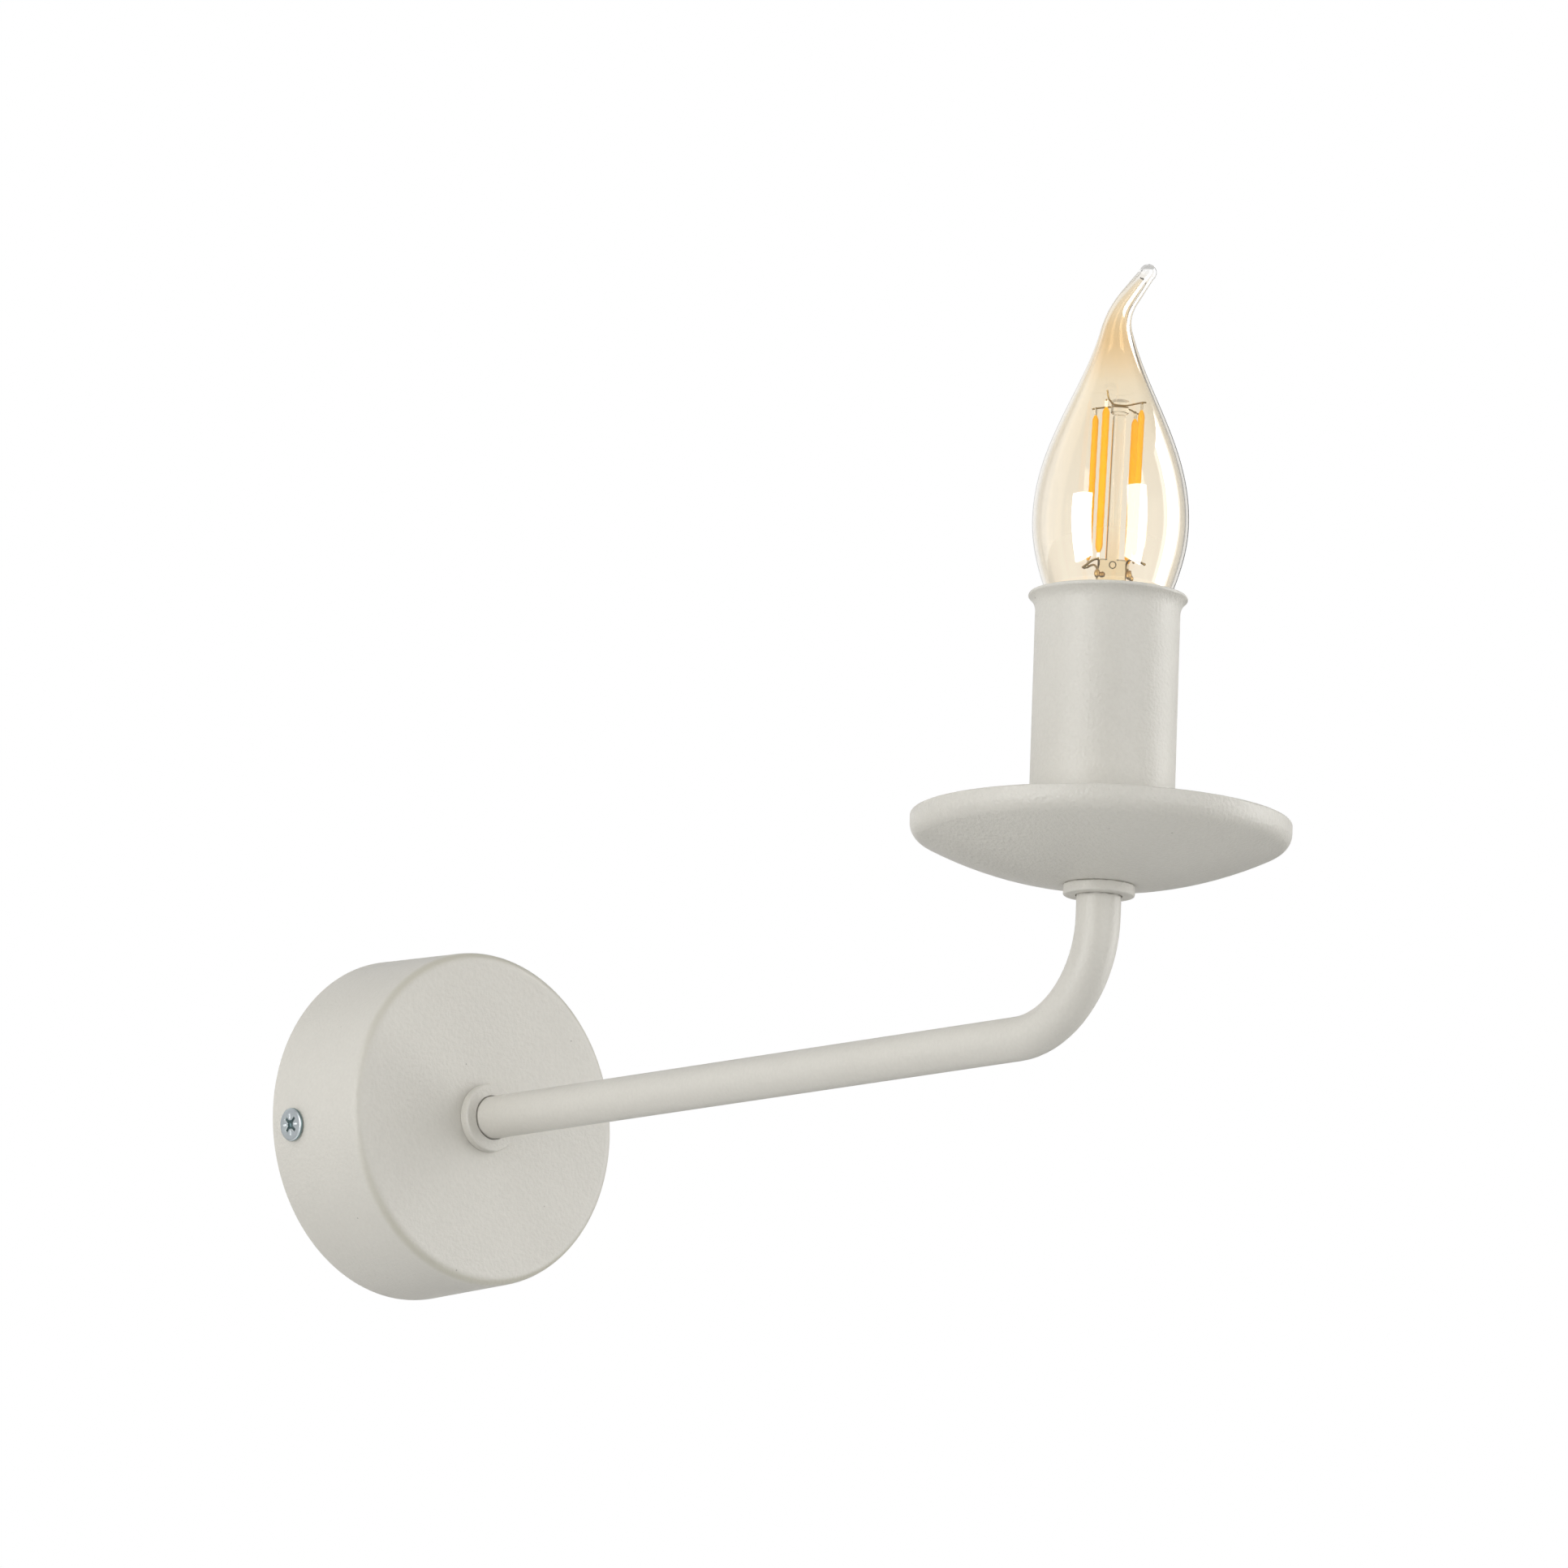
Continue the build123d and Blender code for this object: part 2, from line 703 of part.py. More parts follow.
# Nut that clamps the sleeve and the dish on the collar
with BuildPart() as candle_nut:
    with Locations(candle_level(candle_nut_z)):
        add(thread_nut)

# Lampholder base: a moulded cup that screws onto the tube
with BuildPart() as lampholder_base:
    with BuildSketch(candle_level(holder_z)):
        Circle(holder_diameter / 2)
    extrude(amount=base_top - holder_z)
    with BuildSketch(candle_level(holder_z + holder_floor)):
        Circle(holder_base_bore / 2)
        Circle(holder_boss_diameter / 2, mode=Mode.SUBTRACT)
    extrude(amount=base_top - holder_z, mode=Mode.SUBTRACT)
    with BuildSketch(candle_level(tube_top)):
        Circle(holder_base_bore / 2)
    extrude(amount=base_top - tube_top, mode=Mode.SUBTRACT)
    with BuildSketch(candle_level(insert_z)):
        Circle(holder_insert_diameter / 2 + seat_clearance)
    extrude(amount=base_top - insert_z, mode=Mode.SUBTRACT)
    with BuildSketch(candle_level(holder_z)):
        Circle(tube_thread_radius)
    extrude(amount=base_top - holder_z, mode=Mode.SUBTRACT)
    base_rim = lampholder_base.edges().filter_by(GeomType.CIRCLE).group_by(Axis.Z)[0]
    fillet(base_rim.sort_by(SortBy.RADIUS)[-1], holder_floor / 2)

# Lampholder insert: the insulating disc that carries the contacts
with BuildPart() as lampholder_insert:
    with BuildSketch(candle_level(insert_z)):
        Circle(holder_insert_diameter / 2)
        with Locations((-centre_leg_offset, 0), (side_spring_offset, 0)):
            Rectangle(
                contact_sheet + 2 * seat_clearance,
                contact_width + 2 * seat_clearance,
                mode=Mode.SUBTRACT,
            )
    extrude(amount=holder_insert_thickness)

# Lampholder body: the moulded shell that the lamp screws into
pocket_depth = side_spring_face + seat_clearance
with BuildPart() as lampholder_body:
    with BuildSketch(candle_section):
        with BuildLine():
            Polyline(
                (0, base_top),
                (holder_diameter / 2, base_top),
                (holder_diameter / 2, waist_top),
                (holder_neck_diameter / 2, neck_z),
                (holder_neck_diameter / 2, holder_top),
                (0, holder_top),
                close=True,
            )
        make_face()
        mouth_corner = vertices().sort_by_distance((holder_neck_diameter / 2, holder_top))[0]
        fillet(mouth_corner, holder_mouth_radius)
    revolve(axis=candle_axis)
    with BuildSketch(candle_level(base_top)):
        Circle(holder_insert_diameter / 2 + seat_clearance)
    extrude(amount=insert_top - base_top, mode=Mode.SUBTRACT)
    with BuildSketch(candle_level(insert_top)):
        Circle(holder_bore / 2)
        Rectangle(
            pocket_depth, contact_width + 2 * seat_clearance, align=(Align.MIN, Align.CENTER)
        )
    extrude(amount=side_spring_length + seat_clearance, mode=Mode.SUBTRACT)
    with BuildSketch(candle_level(insert_top)):
        Circle(holder_bore / 2)
    extrude(amount=holder_top - insert_top, mode=Mode.SUBTRACT)
    mouth = lampholder_body.edges().filter_by(GeomType.CIRCLE).group_by(Axis.Z)[-1]
    chamfer(mouth.sort_by(SortBy.RADIUS)[0], holder_mouth_chamfer)

# Centre contact: a sprung strip with a leg through the insert
pad_top_z = lamp_z - seat_clearance
pad_z = pad_top_z - contact_sheet
spring_foot = -centre_pad_half_length - centre_spring_run
with BuildPart() as centre_contact:
    with BuildSketch(candle_section):
        with BuildLine():
            Polyline(
                (-centre_leg_face, contact_leg_z),
                (-centre_leg_face, insert_top + contact_sheet),
                (spring_foot, insert_top + contact_sheet),
                (-centre_pad_half_length, pad_top_z),
                (centre_pad_half_length, pad_top_z),
                (centre_pad_half_length, pad_z),
                (-centre_pad_half_length + contact_sheet, pad_z),
                (spring_foot + contact_sheet, insert_top),
                (contact_sheet - centre_leg_face, insert_top),
                (contact_sheet - centre_leg_face, contact_leg_z),
                close=True,
            )
        make_face()
    extrude(amount=contact_width / 2, both=True)
    with BuildSketch(
        Plane(
            origin=candle_origin + Vector(0, 0, contact_screw_z),
            x_dir=(0, 1, 0),
            z_dir=(-1, 0, 0),
        )
    ):
        Circle(contact_screw_diameter / 2 + thread_clearance)
    extrude(amount=holder_diameter, mode=Mode.SUBTRACT)

# Side contact: a strip in the body's pocket, with a leg through the insert
with BuildPart() as side_contact:
    with BuildSketch(candle_level(contact_leg_z)):
        with Locations((side_spring_offset, 0)):
            Rectangle(contact_sheet, contact_width)
    extrude(amount=insert_top + side_spring_length - contact_leg_z)
    with BuildSketch(
        Plane(
            origin=candle_origin + Vector(0, 0, contact_screw_z),
            x_dir=(0, 1, 0),
            z_dir=(1, 0, 0),
        )
    ):
        Circle(contact_screw_diameter / 2 + thread_clearance)
    extrude(amount=holder_diameter, mode=Mode.SUBTRACT)

# Lampholder screws, one through each contact leg
contact_screw = pan_screw(
    contact_screw_diameter,
    contact_sheet,
    contact_screw_head_diameter,
    contact_screw_head_height,
)
with BuildPart() as lampholder_screws:
    with Locations(
        Plane(
            origin=candle_origin + Vector(-centre_leg_face, 0, contact_screw_z),
            x_dir=(0, 1, 0),
            z_dir=(-1, 0, 0),
        ),
        Plane(
            origin=candle_origin + Vector(side_spring_face, 0, contact_screw_z),
            x_dir=(0, 1, 0),
            z_dir=(1, 0, 0),
        ),
    ):
        add(contact_screw)

# Wires from the terminal block through the arm to the lampholder
wire_clamp = terminal_screw_spacing / 2 - terminal_screw_diameter
wire_loop = block_width / 2 + wire_out_of_block
wire_loop_top = wire_loop + wire_loop_height


def lamp_wire(pole_place, side, leg):
    """Insulated wire from one pole of the block, along the tube, to one contact's leg."""
    in_tube = side * wire_offset
    at_leg = leg - side * (contact_sheet / 2 + wire_diameter / 2 + thread_clearance)
    halfway = (pole_place + in_tube) / 2
    route = [
        bracket_point(pole_place, wire_clamp, block_socket_from_wall),
        bracket_point(pole_place, wire_loop, block_socket_from_wall),
        bracket_point(halfway, wire_loop_top, wire_rise - wire_loop_height),
        bracket_point(in_tube, wire_loop - wire_loop_drop, wire_rise),
        Vector(in_tube, -wire_rise, 0),
        Vector(in_tube, -arm_reach, 0),
        Vector(in_tube, -arm_reach, tube_top),
        Vector(at_leg, -arm_reach, tube_top + wire_above_tube),
        Vector(at_leg, -arm_reach, insert_z - seat_clearance),
    ]
    loop_radii = [wire_loop_radius, wire_loop_radius, wire_loop_radius, wire_turn_radius]
    with BuildPart() as wire:
        with BuildLine() as path:
            FilletPolyline(*route, radius=loop_radii + [bend_radius] + wire_leg_radii)
        with BuildSketch(Plane(origin=path.line @ 0, z_dir=path.line % 0)):
            Circle(wire_diameter / 2)
        sweep()
    return wire.part


live_run = lamp_wire(pole_places[0], -1, -centre_leg_offset)
neutral_run = lamp_wire(pole_places[1], 1, side_spring_offset)

with BuildPart() as live_wire:
    add(live_run)

with BuildPart() as neutral_wire:
    add(neutral_run)

# Earth wire from the block's last pole to the lug
lug_wire_end = lug_barrel_start + lug_barrel_length / 2
with BuildPart() as earth_wire:
    with BuildLine() as earth_path:
        FilletPolyline(
            bracket_point(pole_places[-1], wire_clamp, block_socket_from_wall),
            bracket_point(pole_places[-1], wire_loop, block_socket_from_wall),
            bracket_point(
                (pole_places[-1] + earth_screw_place) / 2,
                wire_loop_top,
                (block_socket_from_wall + lug_barrel_from_wall) / 2,
            ),
            bracket_point(earth_screw_place, wire_loop, lug_barrel_from_wall),
            bracket_point(earth_screw_place, lug_wire_end, lug_barrel_from_wall),
            radius=earth_loop_radius,
        )
    with BuildSketch(Plane(origin=earth_path.line @ 0, z_dir=earth_path.line % 0)):
        Circle(wire_diameter / 2)
    sweep()


def glass_radius(distance):
    """Outer radius of the lamp's glass, at a distance from the foot along its centre line."""
    if distance < lamp_widest_height:
        end_radius = lamp_neck_diameter / 2
        share = (lamp_widest_height - distance) / lamp_neck_length
    else:
        end_radius = tail_end_diameter / 2 + tail_taper * (glass_length - distance)
        share = min((distance - lamp_widest_height) / lamp_shoulder_length, 1)
    return end_radius + (lamp_diameter / 2 - end_radius) * (1 + cos(pi * share)) / 2


def glass_bore(distance):
    """Inner radius of the lamp's glass, whose wall thickens along the tail."""
    tail_share = max(distance - tail_start_height, 0) / tail_length
    return glass_radius(distance) - lamp_glass_wall - (tail_wall - lamp_glass_wall) * tail_share


def glass_plane(distance):
    """Plane across the glass's centre line, which stands upright and bends in the tail."""
    bent = max(distance - tail_start_height, 0)
    turn = min(bent, tail_arc_length) / tail_bend_radius
    past = max(bent - tail_arc_length, 0)
    across = tail_bend_radius * (1 - cos(turn)) + past * sin(turn)
    up = min(distance, tail_start_height) + tail_bend_radius * sin(turn) + past * cos(turn)
    return Plane(
        origin=lamp_foot + tail_direction * across + Vector(0, 0, up),
        x_dir=tail_side,
        z_dir=tail_direction * sin(turn) + Vector(0, 0, cos(turn)),
    )


glass_foot_height = cap_height - cap_glass_overlap
glass_section_step = (tail_start_height - glass_foot_height) / glass_section_count
body_distances = [
    glass_foot_height + glass_section_step * section for section in range(glass_section_count)
]
tail_distances = [
    tail_start_height + tail_length * section / tail_section_count
    for section in range(tail_section_count + 1)
]

# Lamp glass: a flame shape drawn out into a bent tail, hollow and open at its neck
with BuildPart() as lamp_glass:
    for distance in body_distances + tail_distances:
        with BuildSketch(glass_plane(distance)):
            Circle(glass_radius(distance))
    loft()
    with Locations(glass_plane(glass_length)):
        Sphere(bead_diameter / 2)
    for distance in body_distances + tail_distances[:-tail_solid_section_count]:
        with BuildSketch(glass_plane(distance)):
            Circle(glass_bore(distance))
    loft(mode=Mode.SUBTRACT)

# Lamp cap: the screw shell, flared to a rim round the glass
foot_opening = insulator_diameter / 2 + seat_clearance
rim_bore_radius = glass_radius(cap_height) + seat_clearance
rim_radius = rim_bore_radius + cap_shell
with BuildPart() as lamp_cap:
    with BuildSketch(lamp_section):
        with BuildLine():
            Polyline(
                (foot_opening, cap_foot_height),
                (cap_diameter / 2, cap_thread_start),
                (cap_diameter / 2, cap_thread_end),
                (rim_radius, cap_rim_start),
                (rim_radius, cap_height),
                (rim_bore_radius, cap_height),
                (rim_bore_radius, cap_rim_start),
                (cap_diameter / 2 - cap_shell, cap_thread_end),
                (cap_diameter / 2 - cap_shell, cap_thread_start + cap_shell),
                (foot_opening, cap_foot_height + cap_shell),
                close=True,
            )
        make_face()
    revolve(axis=candle_axis)

# Lamp insulator: the ring between the cap and the foot contact
with BuildPart() as lamp_insulator:
    with BuildSketch(lamp_section):
        with BuildLine():
            Polyline(
                (foot_pin_diameter / 2 + seat_clearance, foot_height),
                (foot_diameter / 2 + insulator_step, foot_height),
                (insulator_diameter / 2, cap_foot_height),
                (insulator_diameter / 2, insulator_top_height),
                (foot_pin_diameter / 2 + seat_clearance, insulator_top_height),
                close=True,
            )
        make_face()
    revolve(axis=candle_axis)

# Lamp foot contact: a domed button with a pin through the insulator
with BuildPart() as lamp_contact:
    with BuildSketch(lamp_section):
        with BuildLine():
            dome = TangentArc((0, 0), (foot_diameter / 2, foot_height), tangent=(1, 0))
            Polyline(
                dome @ 1,
                (foot_pin_diameter / 2, foot_height),
                (foot_pin_diameter / 2, foot_pin_length),
                (0, foot_pin_length),
                dome @ 0,
            )
        make_face()
    revolve(axis=candle_axis)

# The stem leans a little in the glass, and the filaments stand round it
stem_foot_height = cap_height
lean = radians(mount_lean)
lead_reach = (filament_circle_diameter + lead_diameter) / 2 + filament_from_glass


def mount_room(height):
    """Free radius inside the glass round the leaning mount, at a height above the lamp's foot."""
    return glass_bore(height) - (height - stem_foot_height) * tan(lean)


def mount_top():
    """Height at which the narrowing glass leaves just room for the leads, found by halving."""
    low = lamp_widest_height
    high = tail_start_height
    for _ in range(mount_fit_steps):
        middle = (low + high) / 2
        if mount_room(middle) > lead_reach:
            low = middle
        else:
            high = middle
    return low


mount_top_height = mount_top()
filament_top_height = mount_top_height - lead_top_drop
filament_foot_height = filament_top_height - filament_length
press_top_height = filament_foot_height - press_below_filaments
press_start_height = press_top_height - press_height
mount_axis = tail_direction * sin(lean) + Vector(0, 0, cos(lean))
mount_foot = lamp_foot + Vector(0, 0, stem_foot_height)
mount_right = tail_direction * cos(lean) - Vector(0, 0, sin(lean))
mount_section = Plane(origin=mount_foot, x_dir=mount_right, z_dir=tail_side)


def mount_level(height):
    """Plane square to the leaning stem, at a height above the lamp's foot."""
    rise = height - stem_foot_height
    return Plane(origin=mount_foot + mount_axis * rise, x_dir=mount_right, z_dir=mount_axis)


stem_flare_radius = (
    glass_radius(stem_foot_height) - lamp_glass_wall - seat_clearance - stem_flare_thickness * sin(lean)
)
press_start = press_start_height - stem_foot_height
press_top = press_top_height - stem_foot_height
rod_top = mount_top_height + button_above_leads - stem_foot_height

# Lamp stem: a flared glass foot, a flat press and a rod with a button
with BuildPart() as lamp_stem:
    with BuildSketch(mount_section):
        with BuildLine():
            Polyline(
                (0, 0),
                (stem_flare_radius, 0),
                (stem_flare_radius, stem_flare_thickness),
                (stem_waist_diameter / 2, press_start - stem_waist_length),
                (stem_waist_diameter / 2, press_start),
                (rod_diameter / 2, press_top),
                (rod_diameter / 2, rod_top - button_height),
                (button_diameter / 2, rod_top - button_height + button_taper),
                (button_diameter / 2, rod_top),
                (0, rod_top),
                close=True,
            )
        make_face()
    revolve(axis=Axis(mount_foot, mount_axis))
    with BuildSketch(mount_level(press_start_height)):
        RectangleRounded(stem_waist_diameter, stem_waist_diameter, press_foot_radius)
    with BuildSketch(mount_level(press_top_height)):
        RectangleRounded(press_width, press_thickness, press_edge_radius)
    loft()

filament_directions = [
    Vector(1, 0, 0).rotate(Axis.Z, filament_first_angle + 360 * index / filament_count)
    for index in range(filament_count)
]
filament_sections = [
    (filament_foot_height, filament_tip_share),
    (filament_foot_height + filament_tip_length, 1),
    (filament_top_height - filament_tip_length, 1),
    (filament_top_height, filament_tip_share),
]

# Filaments: coated strips round the stem, narrowed at both ends
with BuildPart() as lamp_filaments:
    for outward in filament_directions:
        for height, share in filament_sections:
            level = mount_level(height)
            place = level.from_local_coords(outward * (filament_circle_diameter / 2))
            facing = level.from_local_coords(outward) - level.origin
            with BuildSketch(Plane(origin=place, x_dir=facing, z_dir=mount_axis)):
                Ellipse(share * filament_thickness / 2, share * filament_width / 2)
        loft(ruled=True)

lead_arm_height = filament_foot_height - lead_foot_rise
lead_leg_offset = press_width / 2 + seat_clearance + lead_diameter / 2


def lead_runs(outward):
    """Points of a filament's two leads: from the button to its top, and from the press to its foot."""
    over_filament = outward * (filament_circle_diameter / 2)
    leg = Vector(
        copysign(lead_leg_offset, outward.X), copysign(lead_leg_spacing / 2, outward.Y), 0
    )
    top_run = [
        (outward * (button_diameter / 2 + seat_clearance), mount_top_height),
        (over_filament, mount_top_height),
        (over_filament, filament_top_height + filament_gap),
    ]
    foot_run = [
        (leg, lead_arm_height - lead_leg_length),
        (leg, lead_arm_height),
        (over_filament, lead_arm_height),
        (over_filament, filament_foot_height - filament_gap),
    ]
    return [
        [mount_level(height).from_local_coords(place) for place, height in run]
        for run in (top_run, foot_run)
    ]


# Lead wires: bent from the button down to each filament's top, and from the press up to each foot
with BuildPart() as lamp_leads:
    for outward in filament_directions:
        for points in lead_runs(outward):
            with BuildLine():
                FilletPolyline(*points, radius=lead_bend_radius)
            with BuildSketch(Plane(origin=points[0], z_dir=points[1] - points[0])):
                Circle(lead_diameter / 2)
            sweep()

# Driver board inside the cap, with its capacitor
board_width = 2 * (cap_diameter / 2 - cap_shell - hole_clearance)
board_level = Plane(
    origin=lamp_foot + Vector(0, 0, board_from_foot), x_dir=tail_direction, z_dir=(0, 0, 1)
)
with BuildPart() as lamp_driver:
    with BuildSketch(board_level):
        Rectangle(board_width - board_thickness / 2, board_thickness)
    extrude(amount=board_height)
    with BuildSketch(board_level.offset((board_height - capacitor_length) / 2)):
        with Locations((0, capacitor_diameter / 2)):
            Circle(capacitor_diameter / 2)
    extrude(amount=capacitor_length)

pieces = {
    "canopy": canopy,
    "wall_bracket": wall_bracket,
    "canopy_screws": canopy_screws,
    "terminal_block": terminal_block,
    "terminal_sockets": terminal_sockets,
    "terminal_screws": terminal_screws,
    "block_screw": block_screw,
    "earth_lug": earth_lug,
    "earth_screw": earth_screw,
    "rear_washer": rear_washer,
    "rear_nut": rear_nut,
    "wall_collar": wall_collar,
    "arm_tube": arm_tube,
    "tube_bush": tube_bush,
    "dish_collar": dish_collar,
    "drip_dish": drip_dish,
    "candle_sleeve": candle_sleeve,
    "candle_nut": candle_nut,
    "lampholder_base": lampholder_base,
    "lampholder_insert": lampholder_insert,
    "lampholder_body": lampholder_body,
    "centre_contact": centre_contact,
    "side_contact": side_contact,
    "lampholder_screws": lampholder_screws,
    "live_wire": live_wire,
    "neutral_wire": neutral_wire,
    "earth_wire": earth_wire,
    "lamp_glass": lamp_glass,
    "lamp_cap": lamp_cap,
    "lamp_insulator": lamp_insulator,
    "lamp_contact": lamp_contact,
    "lamp_stem": lamp_stem,
    "lamp_filaments": lamp_filaments,
    "lamp_leads": lamp_leads,
    "lamp_driver": lamp_driver,
}

for name, piece in pieces.items():
    piece.part.label = name
    export_step(piece.part, f"parts/{name}.step")
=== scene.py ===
import json
import math

import bmesh
import bpy
from mathutils import Matrix, Vector


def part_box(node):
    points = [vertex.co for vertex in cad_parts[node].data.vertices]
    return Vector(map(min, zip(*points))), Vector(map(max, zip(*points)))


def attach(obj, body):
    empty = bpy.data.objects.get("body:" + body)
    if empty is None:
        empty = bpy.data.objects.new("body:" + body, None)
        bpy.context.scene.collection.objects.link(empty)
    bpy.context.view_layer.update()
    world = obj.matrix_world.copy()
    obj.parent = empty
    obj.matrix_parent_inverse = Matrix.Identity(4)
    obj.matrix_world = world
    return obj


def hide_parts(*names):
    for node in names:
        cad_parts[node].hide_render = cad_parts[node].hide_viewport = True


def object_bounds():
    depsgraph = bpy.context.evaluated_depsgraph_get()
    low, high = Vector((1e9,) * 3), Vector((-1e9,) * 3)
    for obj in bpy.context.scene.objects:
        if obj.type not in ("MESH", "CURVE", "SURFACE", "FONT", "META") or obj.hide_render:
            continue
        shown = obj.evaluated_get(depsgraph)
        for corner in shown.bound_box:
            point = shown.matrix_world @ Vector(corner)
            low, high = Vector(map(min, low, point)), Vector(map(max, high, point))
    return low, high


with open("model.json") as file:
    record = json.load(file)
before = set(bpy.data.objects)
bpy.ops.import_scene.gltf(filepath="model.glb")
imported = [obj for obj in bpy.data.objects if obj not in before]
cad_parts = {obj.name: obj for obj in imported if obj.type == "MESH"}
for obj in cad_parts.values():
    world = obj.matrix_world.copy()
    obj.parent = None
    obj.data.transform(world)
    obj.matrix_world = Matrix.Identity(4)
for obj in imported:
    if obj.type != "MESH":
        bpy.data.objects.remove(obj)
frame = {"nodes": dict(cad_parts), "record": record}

# Wall lamp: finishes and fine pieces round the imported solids, which are in metres.
# The wall is the plane Y = 0, the lamp stands out along -Y, and Z is up.

cad_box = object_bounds()
nodes = frame["nodes"]
MM = 0.001

# Camera, where the photograph was taken from
CAMERA_PLACE = Vector((-1.661158, -2.045168, -0.418369))
CAMERA_YAW = math.radians(-40.97)
CAMERA_PITCH = math.radians(-10.864)
CAMERA_ROLL = math.radians(2.11)
CAMERA_LENS = 258.04
CAMERA_SENSOR = 36.0
CAMERA_NEAR = 0.1
CAMERA_FAR = 100.0

# Studio: the floor lies well below the lamp, as under a wall light. A share of it shines like the backdrop,
# and the rest takes the shadows.
FLOOR_HEIGHT = -1.6
FLOOR_SIZE = 40.0
FLOOR_LEVEL = 1.0
FLOOR_SHARE = 0.8
FLOOR_TONES = ((0.9, 0.9, 0.89), (0.97, 0.97, 0.96))
FLOOR_PATCH_SCALE = 3.0
FLOOR_ROUGHNESS = 0.5
FILL_LEVEL = 0.12

# Surroundings by degrees from straight behind the lamp, right positive: what shines in gloss, with a dark
# strip close by on the right and pale ones on the left, and what is seen through glass
SURROUND_LEVEL = 1.25
GLOSS_AROUND = [
    (-180.0, 0.04),
    (-108.0, 0.04),
    (-92.0, 0.14),
    (-78.0, 0.22),
    (-66.0, 0.4),
    (-60.0, 0.4),
    (-48.0, 0.12),
    (-17.0, 0.7),
    (-13.0, 0.5),
    (-4.0, 0.5),
    (-2.0, 0.75),
    (2.0, 0.75),
    (4.0, 0.04),
    (15.0, 0.04),
    (19.0, 0.5),
    (60.0, 0.1),
    (180.0, 0.04),
]
THROUGH_AROUND = [
    (-180.0, 0.7),
    (-40.0, 1.0),
    (26.0, 1.0),
    (32.0, 0.19),
    (78.0, 0.19),
    (88.0, 0.7),
    (180.0, 0.7),
]

# Softboxes: turn from the camera's side, rise, distance, width and height, radiance, and whether they
# shine in gloss
SOFTBOXES = {
    "left": dict(turn=-42.0, rise=1.6, away=1.6, wide=0.88, high=1.15, radiance=4.5, gloss=True),
    "far_left": dict(turn=-100.0, rise=0.0, away=1.7, wide=2.2, high=3.4, radiance=0.85, gloss=False),
    "right": dict(turn=38.0, rise=4.0, away=1.6, wide=0.82, high=1.28, radiance=2.89, gloss=True),
    "side": dict(turn=100.0, rise=8.0, away=1.72, wide=1.2, high=2.1, radiance=0.7, gloss=True),
    "side_core": dict(turn=101.0, rise=8.0, away=1.7, wide=0.78, high=2.1, radiance=3.1, gloss=True),
    "low_back": dict(turn=180.0, rise=-35.0, away=1.7, wide=1.6, high=1.2, radiance=1.22, gloss=False),
    "high_left": dict(turn=-50.0, rise=50.0, away=1.6, wide=1.2, high=1.0, radiance=1.69, gloss=False),
    "high_right": dict(turn=70.0, rise=45.0, away=1.6, wide=1.4, high=1.2, radiance=0.55, gloss=False),
}

# Softboxes that shine on the outside of glass alone
OUTER_GLOSS = ("side_core",)

# Noises in every finish: their fineness, the span of each that is used, and how much finer the gloss
# changes than the colour
MOTTLE_DETAIL = 3.0
MOTTLE_ROUGHNESS = 0.6
GRAIN_DETAIL = 3.0
GRAIN_SPAN = (0.3, 0.7)
GLOSS_FINER = 4
GLOSS_SPAN = (0.25, 0.75)

# Paint, in linear colours, with the depth of its orange peel in metres
COAT_COLOUR = (0.642, 0.622, 0.568)
COAT_ROUGHNESS = 0.42
DISH_COAT_ROUGHNESS = 0.36
COAT_MOTTLE = 0.025
COAT_MOTTLE_SCALE = 45.0
COAT_UNEVEN = 0.05
COAT_GRAIN_SCALE = 1250.0
COAT_GRAIN_TONE = 0.02
COAT_PEEL = 2.0e-4
COAT_PEEL_FINE = 1.3e-4
COAT_PEEL_COARSE = 3.0e-4
SPECK_COLOUR = (0.2, 0.18, 0.15)
SPECK_SCALE = 130.0
SPECK_REACH = 0.027
SPECK_SHARE = 0.55

# Painted shade: dark broken lines where painted pieces meet, for the shade in the gap between them
SEAM_SHADE_WIDTH = 0.4 * MM
SEAM_SHADE_CORE = 0.4
SEAM_SHADE_SHARE = 0.6
SEAM_SHADE_BREAK_SCALE = 500.0
SEAM_SHADE_BREAK_SPAN = (0.4, 0.6)
SEAM_SHADE_BREAK_SHARE = 0.25

# Painted shade round the canopy's front edge, a darker colour on its rounding: its share by how squarely a
# face looks to the front, and the heights from the canopy's middle between which it grows to that share
EDGE_SHADE_COLOUR = (0.565, 0.545, 0.468)
EDGE_SHADE_BAND = ((0.2, 0.0), (0.6, 1.0), (0.8, 1.0), (0.995, 0.0))
EDGE_SHADE_GROWTH = (8 * MM, 30 * MM)
EDGE_SHADE_MIDDLE_SHARE = 0.3

# Crystals in the zinc, and the stripe on the earth wire
SPANGLE_COLOUR = (0.78, 0.86, 0.92)
SPANGLE_SCALE = 1400.0
SPANGLE_SHARE = 0.25
STRIPE_COLOUR = (0.8, 0.62, 0.03)
STRIPE_SIDE = (0.25, -0.55, 0.8)
STRIPE_EDGE = 0.2

# Amber glass: tint by height above the arm's axis, in millimetres
GLASS_TINTS = [
    (78.0, (0.985, 0.93, 0.83)),
    (122.0, (0.98, 0.925, 0.825)),
    (138.0, (0.977, 0.908, 0.784)),
    (144.3, (0.984, 0.915, 0.785)),
    (148.0, (0.978, 0.88, 0.72)),
    (151.8, (0.96, 0.828, 0.635)),
    (155.5, (0.932, 0.78, 0.563)),
    (159.2, (0.926, 0.787, 0.583)),
    (163.0, (0.944, 0.843, 0.678)),
    (169.5, (0.935, 0.868, 0.752)),
    (172.0, (0.985, 0.975, 0.955)),
]

